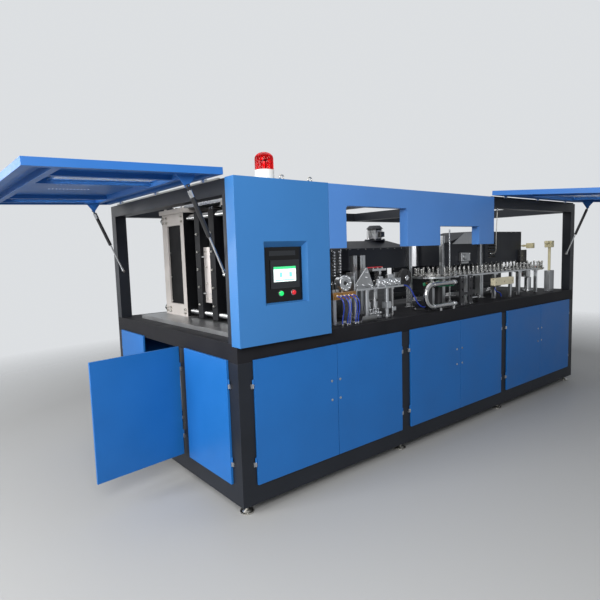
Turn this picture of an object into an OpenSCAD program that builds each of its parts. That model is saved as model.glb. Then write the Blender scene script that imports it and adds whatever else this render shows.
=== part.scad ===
// Linear stretch-blow moulding machine in a sheet-metal enclosure.
// Millimetres, +Z up. Inside the modules x runs along the front from the left end,
// y runs from the front frame face to the rear, z from the floor.
// The origin of the finished model is the underside of the front left foot.

/* [Machine frame] */
// Length of the frame
machine_l = 4680; // [4600:10:5200]
// Depth of the frame
machine_w = 2060; // [2040:10:2300]
// Height of the frame top over the floor
machine_h = 2100; // [2080:5:2300]
// Height of the table top over the floor
table_h = 1100; // [1080:5:1120]
// Height of the levelling feet
foot_h = 60; // [45:1:90]
// Distance of the foot centres from the frame faces
foot_inset = 60; // [50:1:70]
// Height of the bottom frame rails
sill_h = 140; // [120:1:160]
// Height of the rails under the table
beam_h = 120; // [100:1:140]
// Width of the left corner posts
left_post_w = 115; // [100:1:125]
// Width of the posts between the bays
mid_post_w = 125; // [100:1:140]
// Width of the right corner posts
right_post_w = 135; // [120:1:150]
// Depth of all lower posts and rails
post_d = 115; // [100:1:125]
// Square tube of the upper frame
upper_tube = 95; // [80:1:100]
// Distance of the end faces' middle post from the front face
end_post_y = 686; // [600:1:700]
// Thickness of the table plate
deck_t = 12; // [8:1:15]

/* [Doors] */
// Thickness of a door
door_t = 15; // [12:1:25]
// Gap between a door and the frame
door_gap = 1; // [0.5:0.5:2]
// Sheet thickness of doors and covers
sheet_t = 2; // [1.5:0.5:3]
// Overlap of a door on the frame at its sides
door_lap = 6; // [4:1:10]
// Overlap of a door on the frame at top and bottom
door_lap_z = 12; // [8:1:15]
// Gap between two leaves
leaf_gap = 6; // [4:1:10]
// Width of the open leaf in the left end
open_leaf_w = 650; // [550:10:680]
// Angle of the open leaf from closed
open_leaf_angle = 97; // [0:1:105]
// Radius of a door hinge barrel
hinge_r = 6; // [5:0.5:7]
// Distance of a hinge axis from the door edge
hinge_off = 8; // [7.5:0.5:9]
// Distance of the hinges from the door's top and bottom
hinge_in = 150; // [100:5:200]

/* [Flaps] */
// Reach of a gullwing flap from its hinge
flap_reach = 1077; // [1040:1:1090]
// Thickness of a flap
flap_t = 42; // [35:1:60]
// Length of the front flap
front_flap_w = 1830; // [1600:10:1840]
// Tilt of the open end flap below level
end_tilt = 1.8; // [0:0.1:10]
// Tilt of the open front flap below level
front_tilt = 4.6; // [0:0.1:10]
// Distance of a strut's upper pin from the flap hinge
strut_lever = 205; // [180:5:220]
// Radius of a strut's tube
strut_r = 14; // [11:1:16]
// Radius of a strut's rod
rod_r = 7; // [5:0.5:8]

/* [Cabinet and fascia] */
// Width of the control cabinet
cabinet_w = 736; // [700:1:760]
// Distance that cabinet and fascia stand proud of the frame
proud = 45; // [40:1:60]
// Left edge of the panel recess
recess_x = 194; // [180:1:220]
// Width of the panel recess
recess_w = 346; // [330:1:380]
// Height of the recess over the table
recess_up = 225; // [200:1:300]
// Height of the panel recess
recess_h = 394; // [380:1:420]
// Radius of a push button
button_r = 15; // [12:0.5:18]
// Right end of the fascia
fascia_end = 2825; // [2750:5:2825]
// Height of the fascia legs, from their lower ends to the frame top
fascia_h = 435; // [300:5:500]
// Radius of the beacon
beacon_r = 60; // [45:1:62]

/* [Clamp unit] */
// Left side of the clamp unit
clamp_x = 320; // [300:5:360]
// Width of the clamp unit along the machine
clamp_w = 560; // [520:10:600]
// Parting plane of the moulds
parting_y = 953; // [940:1:970]
// Height of the clamp frames over the table
clamp_h = 900; // [860:5:920]
// Thickness of one mould half
mould_t = 76; // [60:1:90]
// Thickness of a platen
platen_t = 80; // [60:1:90]
// Opening stroke of one platen
clamp_stroke = 150; // [120:5:150]
// Number of cavities
cavities = 4; // [2:1:4]
// Distance between cavities
cavity_pitch = 110; // [100:1:115]
// Radius of a tie bar
tie_r = 28; // [20:1:32]
// Radius of a clamp ram
ram_r = 40; // [30:1:45]
// Radius of a stretch rod
stretch_r = 7; // [5:0.5:9]

/* [Chain, ovens and transfer] */
// Left turning centre of the preform chain
chain_x0 = 2400; // [2380:5:2420]
// Distance between the chain's turning centres
chain_l = 1880; // [1850:10:1900]
// Middle line of the chain's front run
chain_y = 200; // [190:5:210]
// Turning radius of the chain
chain_r = 150; // [140:1:155]
// Height of the rail top over the table
rail_up = 275; // [260:1:290]
// Number of preform carriers
carriers = 60; // [30:1:64]
// Height of the hoods' lower edges over the table
hood_up = 360; // [355:1:380]
// Sheet thickness of a hood
hood_t = 4; // [3:0.5:6]
// Radius of the star wheel
star_r = 140; // [120:1:145]
// Number of pockets in the star wheel
star_pockets = 12; // [8:1:16]
// Radius of the guide tube's bend
guide_bend = 95; // [80:1:110]
// Radius of the guide tube
guide_r = 20; // [15:1:24]
// Radius of the carriage's drive pulley
pulley_r = 77; // [60:1:85]

/* [Hidden] */
$fn = 48;

// Clearances shared by the fits
run_clear = 0.05;   // radial play of a pin or shaft in its bore
seat_gap = 0.3;     // gap between pieces that slide or swing past each other
body_gap = 0.2;     // half the gap between the closed mould halves

// Colours
dark = [0.10, 0.11, 0.12];
blue = [0.10, 0.36, 0.72];
steel = [0.62, 0.63, 0.65];
alu = [0.78, 0.79, 0.80];
casting = [0.66, 0.67, 0.66];

// Bays of the long side
bay_w = (machine_l - left_post_w - right_post_w - 2 * mid_post_w) / 3;
bay_x = [for (i = [0:2]) left_post_w + i * (bay_w + mid_post_w)];
front_post_x = [0, bay_x[1] - mid_post_w, bay_x[2] - mid_post_w, machine_l - right_post_w];
front_post_w = [left_post_w, mid_post_w, mid_post_w, right_post_w];

beam_z = table_h - beam_h;

// Doors
door_z0 = foot_h + sill_h - door_lap_z;
door_h = table_h - beam_h + door_lap_z - door_z0;
leaf_w = (bay_w + 2 * door_lap - leaf_gap) / 2;
hinge_y = door_gap + door_t / 2;
knuckle_h = 28;
hinge_pin_r = 3;
end_bay_y0 = post_d;
end_bay_y1 = end_post_y + post_d;
end_leaf_w = end_post_y - end_bay_y0 + 2 * door_lap;
rear_leaf_w = machine_w - post_d - end_bay_y1 + 2 * door_lap - leaf_gap - open_leaf_w;

// Flaps: each hinge axis lies behind and above the outer edge of its top rail
flap_axis_in = 5;
flap_axis_up = 12;
flap_start = 13;
flap_floor = 7;
flap_axis_z = machine_h + flap_axis_up;
end_flap_y0 = 55;
end_flap_w = machine_w - end_flap_y0;
front_flap_x = machine_l - front_flap_w;
flap_tube = 40;
flap_barrel_r = 9;
flap_pin_r = 4;
flap_hinge_in = 260;

// Gas struts, in the frame of a flap that opens towards -Y from an axis along X
strut_drop = 55;
strut_foot = [20, -590];
strut_pin_r = 4;
strut_eye_r = 11;
strut_eye_t = 24;
strut_plane_in = 45;
strut_tube_l = 300;
strut_tube_start = 22;
strut_rod_l = 290;

// Clamp unit
bed_t = 30;
bed_z = table_h + bed_t;
clamp_top = table_h + clamp_h;
frame_wall = 60;
rear_wall = 100;
clamp_open = mould_t + platen_t + clamp_stroke + 26;
rear_frame_y = parting_y + clamp_open;
front_frame_y = parting_y - clamp_open;
rear_frame_d = 415;
front_frame_d = 320;
slot_z0 = bed_z + 100;
slot_z1 = clamp_top - 100;
clamp_mid = clamp_x + clamp_w / 2;
cap_t = 35;
tie_inset = 45;
tie_x = [clamp_x + tie_inset, clamp_x + clamp_w - tie_inset];
tie_z = [bed_z + 50, clamp_top - 50];
ram_z = [table_h + 300, table_h + 640];
ram_l = 242;
platen_edge = 10;
mould_z0 = table_h + 165;
mould_z1 = table_h + 605;
nozzle_z0 = mould_z1 + 10;
nozzle_z1 = nozzle_z0 + 75;
base_half = 201;
base_depth = 68;
neck_half = 20;
neck_z = mould_z0 + 375;
cross_z = clamp_top - 5;
cavity_x = [for (i = [0:cavities - 1]) clamp_mid + (i - (cavities - 1) / 2) * cavity_pitch];

// Chain
rail_z = table_h + rail_up;
chain_cx = [chain_x0, chain_x0 + chain_l];
chain_cy = chain_y + chain_r;
rail_half = 25;
rail_t = 15;
chain_len = 2 * chain_l + 2 * PI * chain_r;
shaft_r = 20;
wheel_rim = chain_r - 20;

// Transfer station
table_plate_z = table_h + 235;
table_plate_t = 15;
fitting_r = 7;
fitting_l = 14;
star_c = [chain_x0 - 110, 190];
star_z = table_h + 200;

// A block between two corners
module block(lo, hi) translate(lo) cube(hi - lo);

// Moves a piece from the frame's corner to the model's origin
module at_datum() translate([-foot_inset, -foot_inset, 0]) children();

// Turns a piece built for the front face onto the left end face
module on_left_end() translate([0, machine_w, 0]) rotate([0, 0, -90]) children();

// Turns a piece built for the front face onto the right end face
module on_right_end() translate([machine_l, 0, 0]) rotate([0, 0, 90]) children();

// Turns a piece built for the front face onto the rear face
module on_rear() translate([machine_l, machine_w, 0]) rotate([0, 0, 180]) children();

// Round bar along Y
module bar_y(x, y0, y1, z, r) translate([x, y0, z]) rotate([-90, 0, 0]) cylinder(h = y1 - y0, r = r);

// Round bar along X
module bar_x(x0, x1, y, z, r) translate([x0, y, z]) rotate([0, 90, 0]) cylinder(h = x1 - x0, r = r);

// Ring of rails round the machine with two cross rails
module frame_ring(z0, z1) {
    block([0, 0, z0], [machine_l, post_d, z1]);
    block([0, machine_w - post_d, z0], [machine_l, machine_w, z1]);
    block([0, 0, z0], [left_post_w, machine_w, z1]);
    block([machine_l - right_post_w, 0, z0], [machine_l, machine_w, z1]);
    for (i = [1, 2]) block([front_post_x[i], 0, z0], [front_post_x[i] + mid_post_w, machine_w, z1]);
}

// Welded base: sills, posts and bearers for the air receiver
module base_frame() color(dark) at_datum() {
    frame_ring(foot_h, foot_h + sill_h);
    for (i = [0:3]) for (y = [0, machine_w - post_d])
        block([front_post_x[i], y, foot_h], [front_post_x[i] + front_post_w[i], y + post_d, beam_z]);
    for (x = [[0, left_post_w], [machine_l - right_post_w, machine_l]])
        block([x[0], end_post_y, foot_h], [x[1], end_post_y + post_d, beam_z]);
    for (y = [receiver_y - saddle_y, receiver_y + saddle_y])
        block([0, y - bearer_w / 2, foot_h + sill_h - bearer_h],
              [front_post_x[1], y + bearer_w / 2, foot_h + sill_h]);
}

// Table: rails on the posts, the plate let in between them, holes for shafts, a hose bulkhead
module table_frame() color(dark) at_datum() {
    difference() {
        union() {
            frame_ring(beam_z, table_h);
            block([0, 0, table_h - deck_t], [machine_l, machine_w, table_h]);
        }
        for (x = chain_cx) translate([x, chain_cy, table_h - 2 * deck_t])
            cylinder(h = 4 * deck_t, r = shaft_r + 4);
        translate([clamp_mid, parting_y, table_h - 2 * deck_t]) cylinder(h = 4 * deck_t, r = lift_r + 6);
    }
    translate([3300, 140, table_h]) cylinder(h = fitting_l, r = fitting_r);
}

// Feet: a round pad, a threaded stem and a lock nut under each post
module levelling_feet() color(steel) at_datum() {
    for (x = [foot_inset, front_post_x[1] + mid_post_w / 2, front_post_x[2] + mid_post_w / 2,
              machine_l - foot_inset])
        for (y = [foot_inset, machine_w - foot_inset])
            translate([x, y, 0]) {
                cylinder(h = 10, r = 45);
                translate([0, 0, 10]) cylinder(h = 12, r1 = 32, r2 = 20);
                cylinder(h = foot_h, r = 12);
                translate([0, 0, foot_h - 14]) cylinder(h = 14, r = 21, $fn = 6);
            }
}

// Machined bed of the clamp unit with the guide boss of the base lift
module bed_plate() color(alu) at_datum() difference() {
    union() {
        block([left_post_w, front_frame_y - front_frame_d - 20, table_h],
              [clamp_x + clamp_w + 120, rear_frame_y + rear_frame_d + 80, bed_z]);
        translate([clamp_mid, parting_y, bed_z]) cylinder(h = 25, r = 45);
    }
    translate([clamp_mid, parting_y, table_h - 1]) cylinder(h = bed_t + 30, r = lift_r + run_clear);
}

// Upper frame: corner posts, top rails, cross rails and the ball studs of the struts
module upper_frame() color(dark) at_datum() {
    for (x = [0, machine_l - upper_tube]) for (y = [0, machine_w - upper_tube])
        block([x, y, table_h], [x + upper_tube, y + upper_tube, machine_h]);
    for (x = [0, front_post_x[1], front_post_x[2], machine_l - upper_tube])
        block([x, 0, machine_h - upper_tube], [x + upper_tube, machine_w, machine_h]);
    for (y = [0, machine_w - upper_tube])
        block([0, y, machine_h - upper_tube], [machine_l, y + upper_tube, machine_h]);
    stud_l = strut_plane_in - strut_eye_t / 2 - seat_gap;
    for (y = [upper_tube, machine_w - upper_tube - stud_l])
        bar_y(flap_axis_in + strut_foot[0], y, y + stud_l, flap_axis_z + strut_foot[1], 6);
    bar_x(machine_l - upper_tube - stud_l, machine_l - upper_tube,
          flap_axis_in + strut_foot[0], flap_axis_z + strut_foot[1], 6);
}

// Folded tray, open towards the frame, with its outer face at -Y
module tray(w, h) difference() {
    block([0, -door_gap - door_t, 0], [w, -door_gap, h]);
    block([sheet_t, -door_gap - door_t + sheet_t, sheet_t], [w - sheet_t, 0, h - sheet_t]);
}

// Screwed covers of the rear and the right end
module side_panels() color(blue) at_datum() {
    on_rear() for (i = [0:2])
        translate([machine_l - bay_x[i] - bay_w - door_lap, door_gap, door_z0])
            tray(bay_w + 2 * door_lap, door_h);
    on_right_end() {
        translate([end_bay_y0 - door_lap, door_gap, door_z0]) tray(end_leaf_w, door_h);
        translate([end_bay_y1 - door_lap, door_gap, door_z0])
            tray(machine_w - post_d - end_bay_y1 + 2 * door_lap, door_h);
    }
}

// Heights of a door's hinges over its lower edge
function hinge_zs() = [hinge_in, door_h - hinge_in];

// Door leaf with its lower left corner at x = 0, and the upper halves of its hinges
module door_leaf(w, right) {
    axis_x = right ? w + hinge_off : -hinge_off;
    edge_x = right ? w - sheet_t : sheet_t;
    tray(w, door_h);
    for (z = hinge_zs()) translate([0, 0, z]) difference() {
        union() {
            translate([axis_x, -hinge_y, 0]) cylinder(h = knuckle_h, r = hinge_r);
            block([min(axis_x, edge_x), -hinge_y - 2, 0], [max(axis_x, edge_x), -hinge_y + 2, knuckle_h]);
        }
        translate([axis_x, -hinge_y, -1]) cylinder(h = knuckle_h + 2, r = hinge_pin_r + run_clear);
    }
}

// Fixed lower half of a leaf's hinges, with the pins, in the leaf's own frame
module leaf_hinges(w, right) {
    axis_x = right ? w + hinge_off : -hinge_off;
    leaf = 18;
    for (z = hinge_zs()) translate([axis_x, 0, z]) {
        translate([0, -hinge_y, -knuckle_h - seat_gap]) cylinder(h = knuckle_h, r = hinge_r);
        translate([0, -hinge_y, -knuckle_h]) cylinder(h = 2 * knuckle_h - 4, r = hinge_pin_r);
        block([right ? -2 : -leaf, -hinge_y, -knuckle_h - seat_gap], [right ? leaf : 2, 0, -seat_gap]);
    }
}

// Left edge of the leaves on the front, and of those on the left end in its own frame
function front_leaf_x(i) =
    bay_x[floor(i / 2)] - door_lap + (i % 2) * (leaf_w + leaf_gap);
end_front_x = machine_w - end_post_y - door_lap;
end_open_x = machine_w - end_bay_y1 + door_lap - open_leaf_w;
end_rear_x = post_d - door_lap;

module place_front(i) translate([front_leaf_x(i), 0, door_z0]) children();
module place_end(x) on_left_end() translate([x, 0, door_z0]) children();

// Leaf i of the front, hinged at its outer side
module front_door(i) color(blue) at_datum() place_front(i) door_leaf(leaf_w, i % 2 == 1);
module front_door_1() front_door(0);
module front_door_2() front_door(1);
module front_door_3() front_door(2);
module front_door_4() front_door(3);
module front_door_5() front_door(4);
module front_door_6() front_door(5);

// Leaves of the left end; the middle one stands open
module end_door_front() color(blue) at_datum() place_end(end_front_x) door_leaf(end_leaf_w, true);
module end_door_rear() color(blue) at_datum() place_end(end_rear_x) door_leaf(rear_leaf_w, false);
module end_door_open() color(blue) at_datum() place_end(end_open_x)
    translate([open_leaf_w + hinge_off, -hinge_y, 0]) rotate([0, 0, open_leaf_angle])
        translate([-open_leaf_w - hinge_off, hinge_y, 0]) door_leaf(open_leaf_w, true);

// Frame of a flap's hinge line: origin on the axis, flap towards -Y, axis along X
module end_flap_axis() translate([flap_axis_in, machine_w, flap_axis_z]) rotate([0, 0, -90]) children();
module front_flap_axis() translate([front_flap_x, flap_axis_in, flap_axis_z]) children();

function flap_hinge_x(w) = [flap_hinge_in, w / 2, w - flap_hinge_in];

// Fixed hinge halves of a flap: two barrels and the pin on a leaf screwed to the top rail
module flap_hinges(w) for (x = flap_hinge_x(w)) translate([x, 0, 0]) {
    for (s = [-1, 1]) translate([s * 20.15, 0, 0]) {
        rotate([0, 90, 0]) cylinder(h = 19.7, r = flap_barrel_r, center = true);
        block([-9.85, -3, -flap_axis_up], [9.85, 45, -6]);
        block([-9.85, -5, -9], [9.85, 5, 0]);
    }
    rotate([0, 90, 0]) cylinder(h = 56, r = flap_pin_r, center = true);
    block([-30, 12, -flap_axis_up], [30, 45, -6]);
}

// All fixed hinge halves
module hinges() color(steel) at_datum() {
    for (i = [0:5]) place_front(i) leaf_hinges(leaf_w, i % 2 == 1);
    place_end(end_front_x) leaf_hinges(end_leaf_w, true);
    place_end(end_open_x) leaf_hinges(open_leaf_w, true);
    place_end(end_rear_x) leaf_hinges(rear_leaf_w, false);
    end_flap_axis() flap_hinges(end_flap_w);
    front_flap_axis() flap_hinges(front_flap_w);
}

// Flap windows as [x, y, width, depth]; the end flap has two, the front flap one
end_panes = [[1300, -800, 300, 630], [110, -800, 250, 630]];
front_panes = [[500, -800, 900, 630]];
pane_margin = 15;
pane_t = 3;

// Gullwing flap: tube frame, ribs and a skin with windows and rows of vents
module flap(w, panes, vent_x, strut_x, bracket_side) {
    top = flap_floor + flap_t;
    outer = -flap_reach;
    difference() {
        union() {
            block([0, outer, top - sheet_t], [w, -flap_start, top]);
            for (y = [outer, outer + 142, -170, -flap_start - flap_tube])
                block([0, y, flap_floor], [w, y + flap_tube, top]);
            for (x = [0, w - flap_tube]) block([x, outer, flap_floor], [x + flap_tube, -flap_start, top]);
            for (p = panes) for (x = [p[0] - flap_tube, p[0] + p[2]])
                block([x, outer + 142, flap_floor + 10], [x + flap_tube, -170, top]);
        }
        for (p = panes) {
            block([p[0], p[1], top - 5], [p[0] + p[2], p[1] + p[3], top + 1]);
            rebate = pane_margin + seat_gap;
            block([p[0] - rebate, p[1] - rebate, top - sheet_t - pane_t],
                  [p[0] + p[2] + rebate, p[1] + p[3] + rebate, top - sheet_t]);
        }
        for (x = vent_x) for (k = [0:11])
            block([x, -690 + 24 * k, top - 5], [x + 40, -680 + 24 * k, top + 1]);
    }
    for (x = flap_hinge_x(w)) translate([x, 0, 0]) difference() {
        union() {
            rotate([0, 90, 0]) cylinder(h = 20, r = flap_barrel_r, center = true);
            block([-10, -flap_start - 4, 6], [10, 0, flap_barrel_r]);
        }
        rotate([0, 90, 0]) cylinder(h = 30, r = flap_pin_r + run_clear, center = true);
    }
    for (i = [0:len(strut_x) - 1]) translate([strut_x[i], 0, 0]) strut_bracket(bracket_side[i]);
}

// Gusset with the strut's upper pin, on the side away from the post
module strut_bracket(side) {
    plate_x = side * (strut_eye_t / 2 + seat_gap + 3);
    translate([plate_x - 3, -strut_lever, -strut_drop]) rotate([90, 0, 90]) linear_extrude(6)
        union() {
            circle(r = 12);
            polygon([[-12, 0], [12, 0], [60, flap_floor + strut_drop], [-60, flap_floor + strut_drop]]);
        }
    block([plate_x - 20, -strut_lever - 70, flap_floor], [plate_x + 20, -strut_lever + 70, flap_floor + 4]);
    translate([side > 0 ? -strut_eye_t / 2 : plate_x, -strut_lever, -strut_drop]) rotate([0, 90, 0])
        cylinder(h = abs(plate_x) + strut_eye_t / 2, r = strut_pin_r);
}

// Panes seated under the skin
module flap_panes(panes) for (p = panes)
    block([p[0] - pane_margin, p[1] - pane_margin, flap_floor + flap_t - sheet_t - pane_t],
          [p[0] + p[2] + pane_margin, p[1] + p[3] + pane_margin, flap_floor + flap_t - sheet_t]);

// Planes of the struts along each flap's axis
end_strut_x = [upper_tube + strut_plane_in, machine_w - upper_tube - strut_plane_in];
front_strut_x = [front_flap_w - upper_tube - strut_plane_in];

module end_flap() color(blue) at_datum() end_flap_axis() rotate([end_tilt, 0, 0])
    flap(end_flap_w, end_panes, [760, 1000], end_strut_x, [1, -1]);
module front_flap() color(blue) at_datum() front_flap_axis() rotate([front_tilt, 0, 0])
    flap(front_flap_w, front_panes, [200], front_strut_x, [-1]);
module end_flap_panes() color([0.8, 0.85, 0.9, 0.4]) at_datum() end_flap_axis()
    rotate([end_tilt, 0, 0]) flap_panes(end_panes);
module front_flap_panes() color([0.8, 0.85, 0.9, 0.4]) at_datum() front_flap_axis()
    rotate([front_tilt, 0, 0]) flap_panes(front_panes);

// Strut geometry: place of the upper pin when the flap is tilted, and the strut's line
function strut_pin(tilt) = [-strut_lever * cos(tilt) + strut_drop * sin(tilt),
                            -strut_lever * sin(tilt) - strut_drop * cos(tilt)];
function strut_run(tilt) = strut_foot - strut_pin(tilt);
function strut_turn(tilt) = atan2(strut_run(tilt)[0], -strut_run(tilt)[1]);
strut_back = strut_tube_l + strut_tube_start;

// Strut tube: eye on the flap's pin, tube pointing to the post
module strut_tube(x, tilt) translate([x, strut_pin(tilt)[0], strut_pin(tilt)[1]])
    rotate([strut_turn(tilt), 0, 0]) difference() {
        union() {
            rotate([0, 90, 0]) cylinder(h = strut_eye_t, r = strut_eye_r, center = true);
            translate([0, 0, -strut_tube_start - 4]) cylinder(h = strut_tube_start, r = 8);
            translate([0, 0, -strut_back]) cylinder(h = strut_tube_l, r = strut_r);
        }
        rotate([0, 90, 0]) cylinder(h = strut_eye_t + 2, r = strut_pin_r + run_clear, center = true);
        translate([0, 0, -strut_back - 1]) cylinder(h = strut_tube_l - 20, r = rod_r + run_clear);
    }

// Strut rod: slides in the tube, its socket in line with the ball stud on the post
module strut_rod(x, tilt) translate([x, strut_foot[0], strut_foot[1]])
    rotate([strut_turn(tilt), 0, 0]) {
        rotate([0, 90, 0]) cylinder(h = strut_eye_t, r = strut_eye_r, center = true);
        cylinder(h = 32, r = 9.5);
        cylinder(h = strut_rod_l, r = rod_r);
    }

module end_strut_tubes() color(dark) at_datum() end_flap_axis()
    for (x = end_strut_x) strut_tube(x, end_tilt);
module end_strut_rods() color(steel) at_datum() end_flap_axis()
    for (x = end_strut_x) strut_rod(x, end_tilt);
module front_strut_tube() color(dark) at_datum() front_flap_axis()
    for (x = front_strut_x) strut_tube(x, front_tilt);
module front_strut_rod() color(steel) at_datum() front_flap_axis()
    for (x = front_strut_x) strut_rod(x, front_tilt);

// Control cabinet: proud front, side return round the corner post, body behind
cabinet_side = 3;
cabinet_depth = 235;
recess_z = table_h + recess_up;
cabinet_z = table_h - 15;
recess_draft = 34;
panel_t = 3;
button_x = [343, 444];
button_z = recess_z + 63;
button_stem_r = 11;
button_travel = 4;

module control_cabinet() color(blue) at_datum() difference() {
    union() {
        block([-cabinet_side, -proud, cabinet_z], [cabinet_w, 0, machine_h + cabinet_side]);
        block([-cabinet_side, -proud, cabinet_z], [-seat_gap, end_flap_y0 - 4, machine_h + cabinet_side]);
        block([-cabinet_side, -proud, machine_h], [cabinet_w, end_flap_y0 - 5, machine_h + cabinet_side]);
        block([upper_tube, upper_tube, table_h], [cabinet_w, cabinet_depth, machine_h + cabinet_side]);
        block([upper_tube, 0, table_h], [cabinet_w, cabinet_depth, machine_h - upper_tube]);
        block([upper_tube, 0, machine_h], [cabinet_w, cabinet_depth, machine_h + cabinet_side]);
    }
    hull() {
        block([recess_x, -proud - 1, recess_z], [recess_x + recess_w, -proud, recess_z + recess_h]);
        block([recess_x + recess_draft, -1, recess_z + 8],
              [recess_x + recess_w - recess_draft / 2, 0, recess_z + recess_h - recess_draft]);
    }
    for (x = button_x) bar_y(x, -1, 40, button_z, button_stem_r + 3);
}

// Black panel on the floor of the recess, bored for the two buttons
module hmi_panel() color([0.03, 0.03, 0.03]) at_datum() difference() {
    block([recess_x + recess_draft + 1, -panel_t, recess_z + 9],
          [recess_x + recess_w - recess_draft / 2 - 1, 0, recess_z + recess_h - recess_draft - 1]);
    for (x = button_x) bar_y(x, -panel_t - 1, 1, button_z, button_stem_r + run_clear);
}

// Touch screen: bezel with a sunk display field
screen = [266, recess_z + 95, 229, 181];
display = [288, recess_z + 138, 178, 96];
bezel_t = 7;
module touch_screen() color([0.06, 0.06, 0.07]) at_datum() difference() {
    block([screen[0], -panel_t - bezel_t, screen[1]],
          [screen[0] + screen[2], -panel_t, screen[1] + screen[3]]);
    block([display[0] - 8, -panel_t - bezel_t - 1, display[1] - 8],
          [display[0] + display[2] + 8, -panel_t - bezel_t + 1.5, display[1] + display[3] + 8]);
}

// Push button: domed head and a stem through the panel
module push_button(x) translate([x, -panel_t - button_travel - seat_gap, button_z]) rotate([90, 0, 0]) {
    cylinder(h = 8, r = button_r);
    translate([0, 0, 8]) cylinder(h = 3, r1 = button_r, r2 = button_r - 4);
    translate([0, 0, -24]) cylinder(h = 25, r = button_stem_r);
}
module start_button() color([0.05, 0.6, 0.2]) at_datum() push_button(button_x[0]);
module stop_button() color([0.8, 0.08, 0.06]) at_datum() push_button(button_x[1]);

// Rotating beacon on the cabinet roof
beacon_c = [322, 100];
module beacon_base() color([0.9, 0.9, 0.88]) at_datum()
    translate([beacon_c[0], beacon_c[1], machine_h + cabinet_side]) difference() {
        union() {
            cylinder(h = 8, r = beacon_r + 3);
            cylinder(h = 70, r = beacon_r + 2);
        }
        translate([0, 0, 62]) cylinder(h = 20, r = beacon_r + run_clear);
    }
module beacon_dome() color([0.8, 0.05, 0.04]) at_datum()
    translate([beacon_c[0], beacon_c[1], machine_h + cabinet_side + 62]) rotate_extrude() difference() {
        dome_outline(beacon_r, 122);
        translate([0, -1]) dome_outline(beacon_r - 3, 120);
    }
module dome_outline(r, h) intersection() {
    union() {
        square([r, h - r * 0.7]);
        translate([0, h - r * 0.7]) scale([1, 0.7]) circle(r = r);
    }
    square([r, h]);
}

// Fascia: one folded sheet with two window openings and three legs
fascia_x = cabinet_w + 3;
fascia_depth = 75;
fascia_z = machine_h - fascia_h;
window_r = 25;
fascia_legs = [[fascia_x, 900], [1560, 1987], [2575, fascia_end]];
window_z = [machine_h - 143, machine_h - 275];
module fascia_outline(t) {
    translate([fascia_x + t, window_z[0] + t])
        square([fascia_end - fascia_x - 2 * t, machine_h - window_z[0] - 2 * t]);
    translate([fascia_legs[1][0] + t, window_z[1] + t])
        square([fascia_end - fascia_legs[1][0] - 2 * t, machine_h - window_z[1] - 2 * t]);
    for (leg = fascia_legs) translate([leg[0] + t, fascia_z + t])
        square([leg[1] - leg[0] - 2 * t, machine_h - fascia_z - 2 * t]);
}
module front_fascia() color(blue) at_datum() {
    difference() {
        translate([0, fascia_depth - proud, 0]) rotate([90, 0, 0]) linear_extrude(fascia_depth)
            fascia_outline(0);
        translate([0, fascia_depth - proud + 1, 0]) rotate([90, 0, 0])
            linear_extrude(fascia_depth + 1 - 3) fascia_outline(3);
        block([fascia_x - 1, 0, machine_h - upper_tube], [fascia_end + 1, fascia_depth, machine_h + 1]);
    }
    for (x = [fascia_legs[0][1], fascia_legs[1][0]]) window_corner(x, x == fascia_legs[0][1] ? 1 : -1);
}
module window_corner(x, side) translate([x, -proud + 3, window_z[0]]) rotate([90, 0, 0])
    linear_extrude(3) difference() {
        translate([side > 0 ? -1 : -window_r, -window_r]) square([window_r + 1, window_r + 1]);
        translate([side * window_r, -window_r]) circle(r = window_r);
    }

// Clamp frames: two cast frames with a window for the rams, each with a cap plate
module clamp_frame() color(casting) at_datum() {
    cast_frame(rear_frame_y, rear_frame_d, 1);
    cast_frame(front_frame_y, front_frame_d, -1);
}
module cast_frame(face_y, depth, side) difference() {
    far_y = face_y + side * depth;
    union() {
        block([clamp_x, min(face_y, far_y), bed_z], [clamp_x + clamp_w, max(face_y, far_y), clamp_top]);
        block([clamp_x - 20, min(face_y, far_y) - 10, clamp_top],
              [clamp_x + clamp_w + 20, max(face_y, far_y) + 10, clamp_top + cap_t]);
    }
    slot_a = face_y + side * frame_wall;
    slot_b = far_y - side * rear_wall;
    block([clamp_x - 1, min(slot_a, slot_b), slot_z0],
          [clamp_x + clamp_w + 1, max(slot_a, slot_b), slot_z1]);
    for (x = tie_x) for (z = tie_z)
        bar_y(x, min(face_y, far_y) - 1, max(face_y, far_y) + 1, z, tie_r + run_clear);
    for (z = ram_z) bar_y(clamp_mid, min(face_y, slot_a) - 1, max(face_y, slot_a) + 1, z,
                          ram_r + run_clear);
}

// Tie bars through both frames, with a nut at each end
module tie_bars() color(steel) at_datum() for (x = tie_x) for (z = tie_z) {
    y0 = front_frame_y - front_frame_d;
    y1 = rear_frame_y + rear_frame_d;
    bar_y(x, y0 - 20, y1 + 45, z, tie_r);
    for (y = [y0 - 18, y1]) translate([x, y, z]) rotate([-90, 0, 0])
        cylinder(h = y < parting_y ? 18 : 40, r = tie_r + 17, $fn = 6);
}

// Platen: slides on the tie bars, driven by two rams
module platen(face_y, side) difference() {
    back_y = face_y + side * platen_t;
    union() {
        block([clamp_x + platen_edge, min(face_y, back_y), bed_z + platen_edge],
              [clamp_x + clamp_w - platen_edge, max(face_y, back_y), clamp_top - platen_edge]);
        for (z = ram_z) bar_y(clamp_mid, min(back_y, back_y + side * ram_l),
                              max(back_y, back_y + side * ram_l), z, ram_r);
    }
    for (x = tie_x) for (z = tie_z)
        bar_y(x, min(face_y, back_y) - 1, max(face_y, back_y) + 1, z, tie_r + run_clear);
}
module rear_platen() color(dark) at_datum() platen(parting_y + mould_t, 1);
module front_platen() color(dark) at_datum() platen(parting_y - mould_t, -1);

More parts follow.
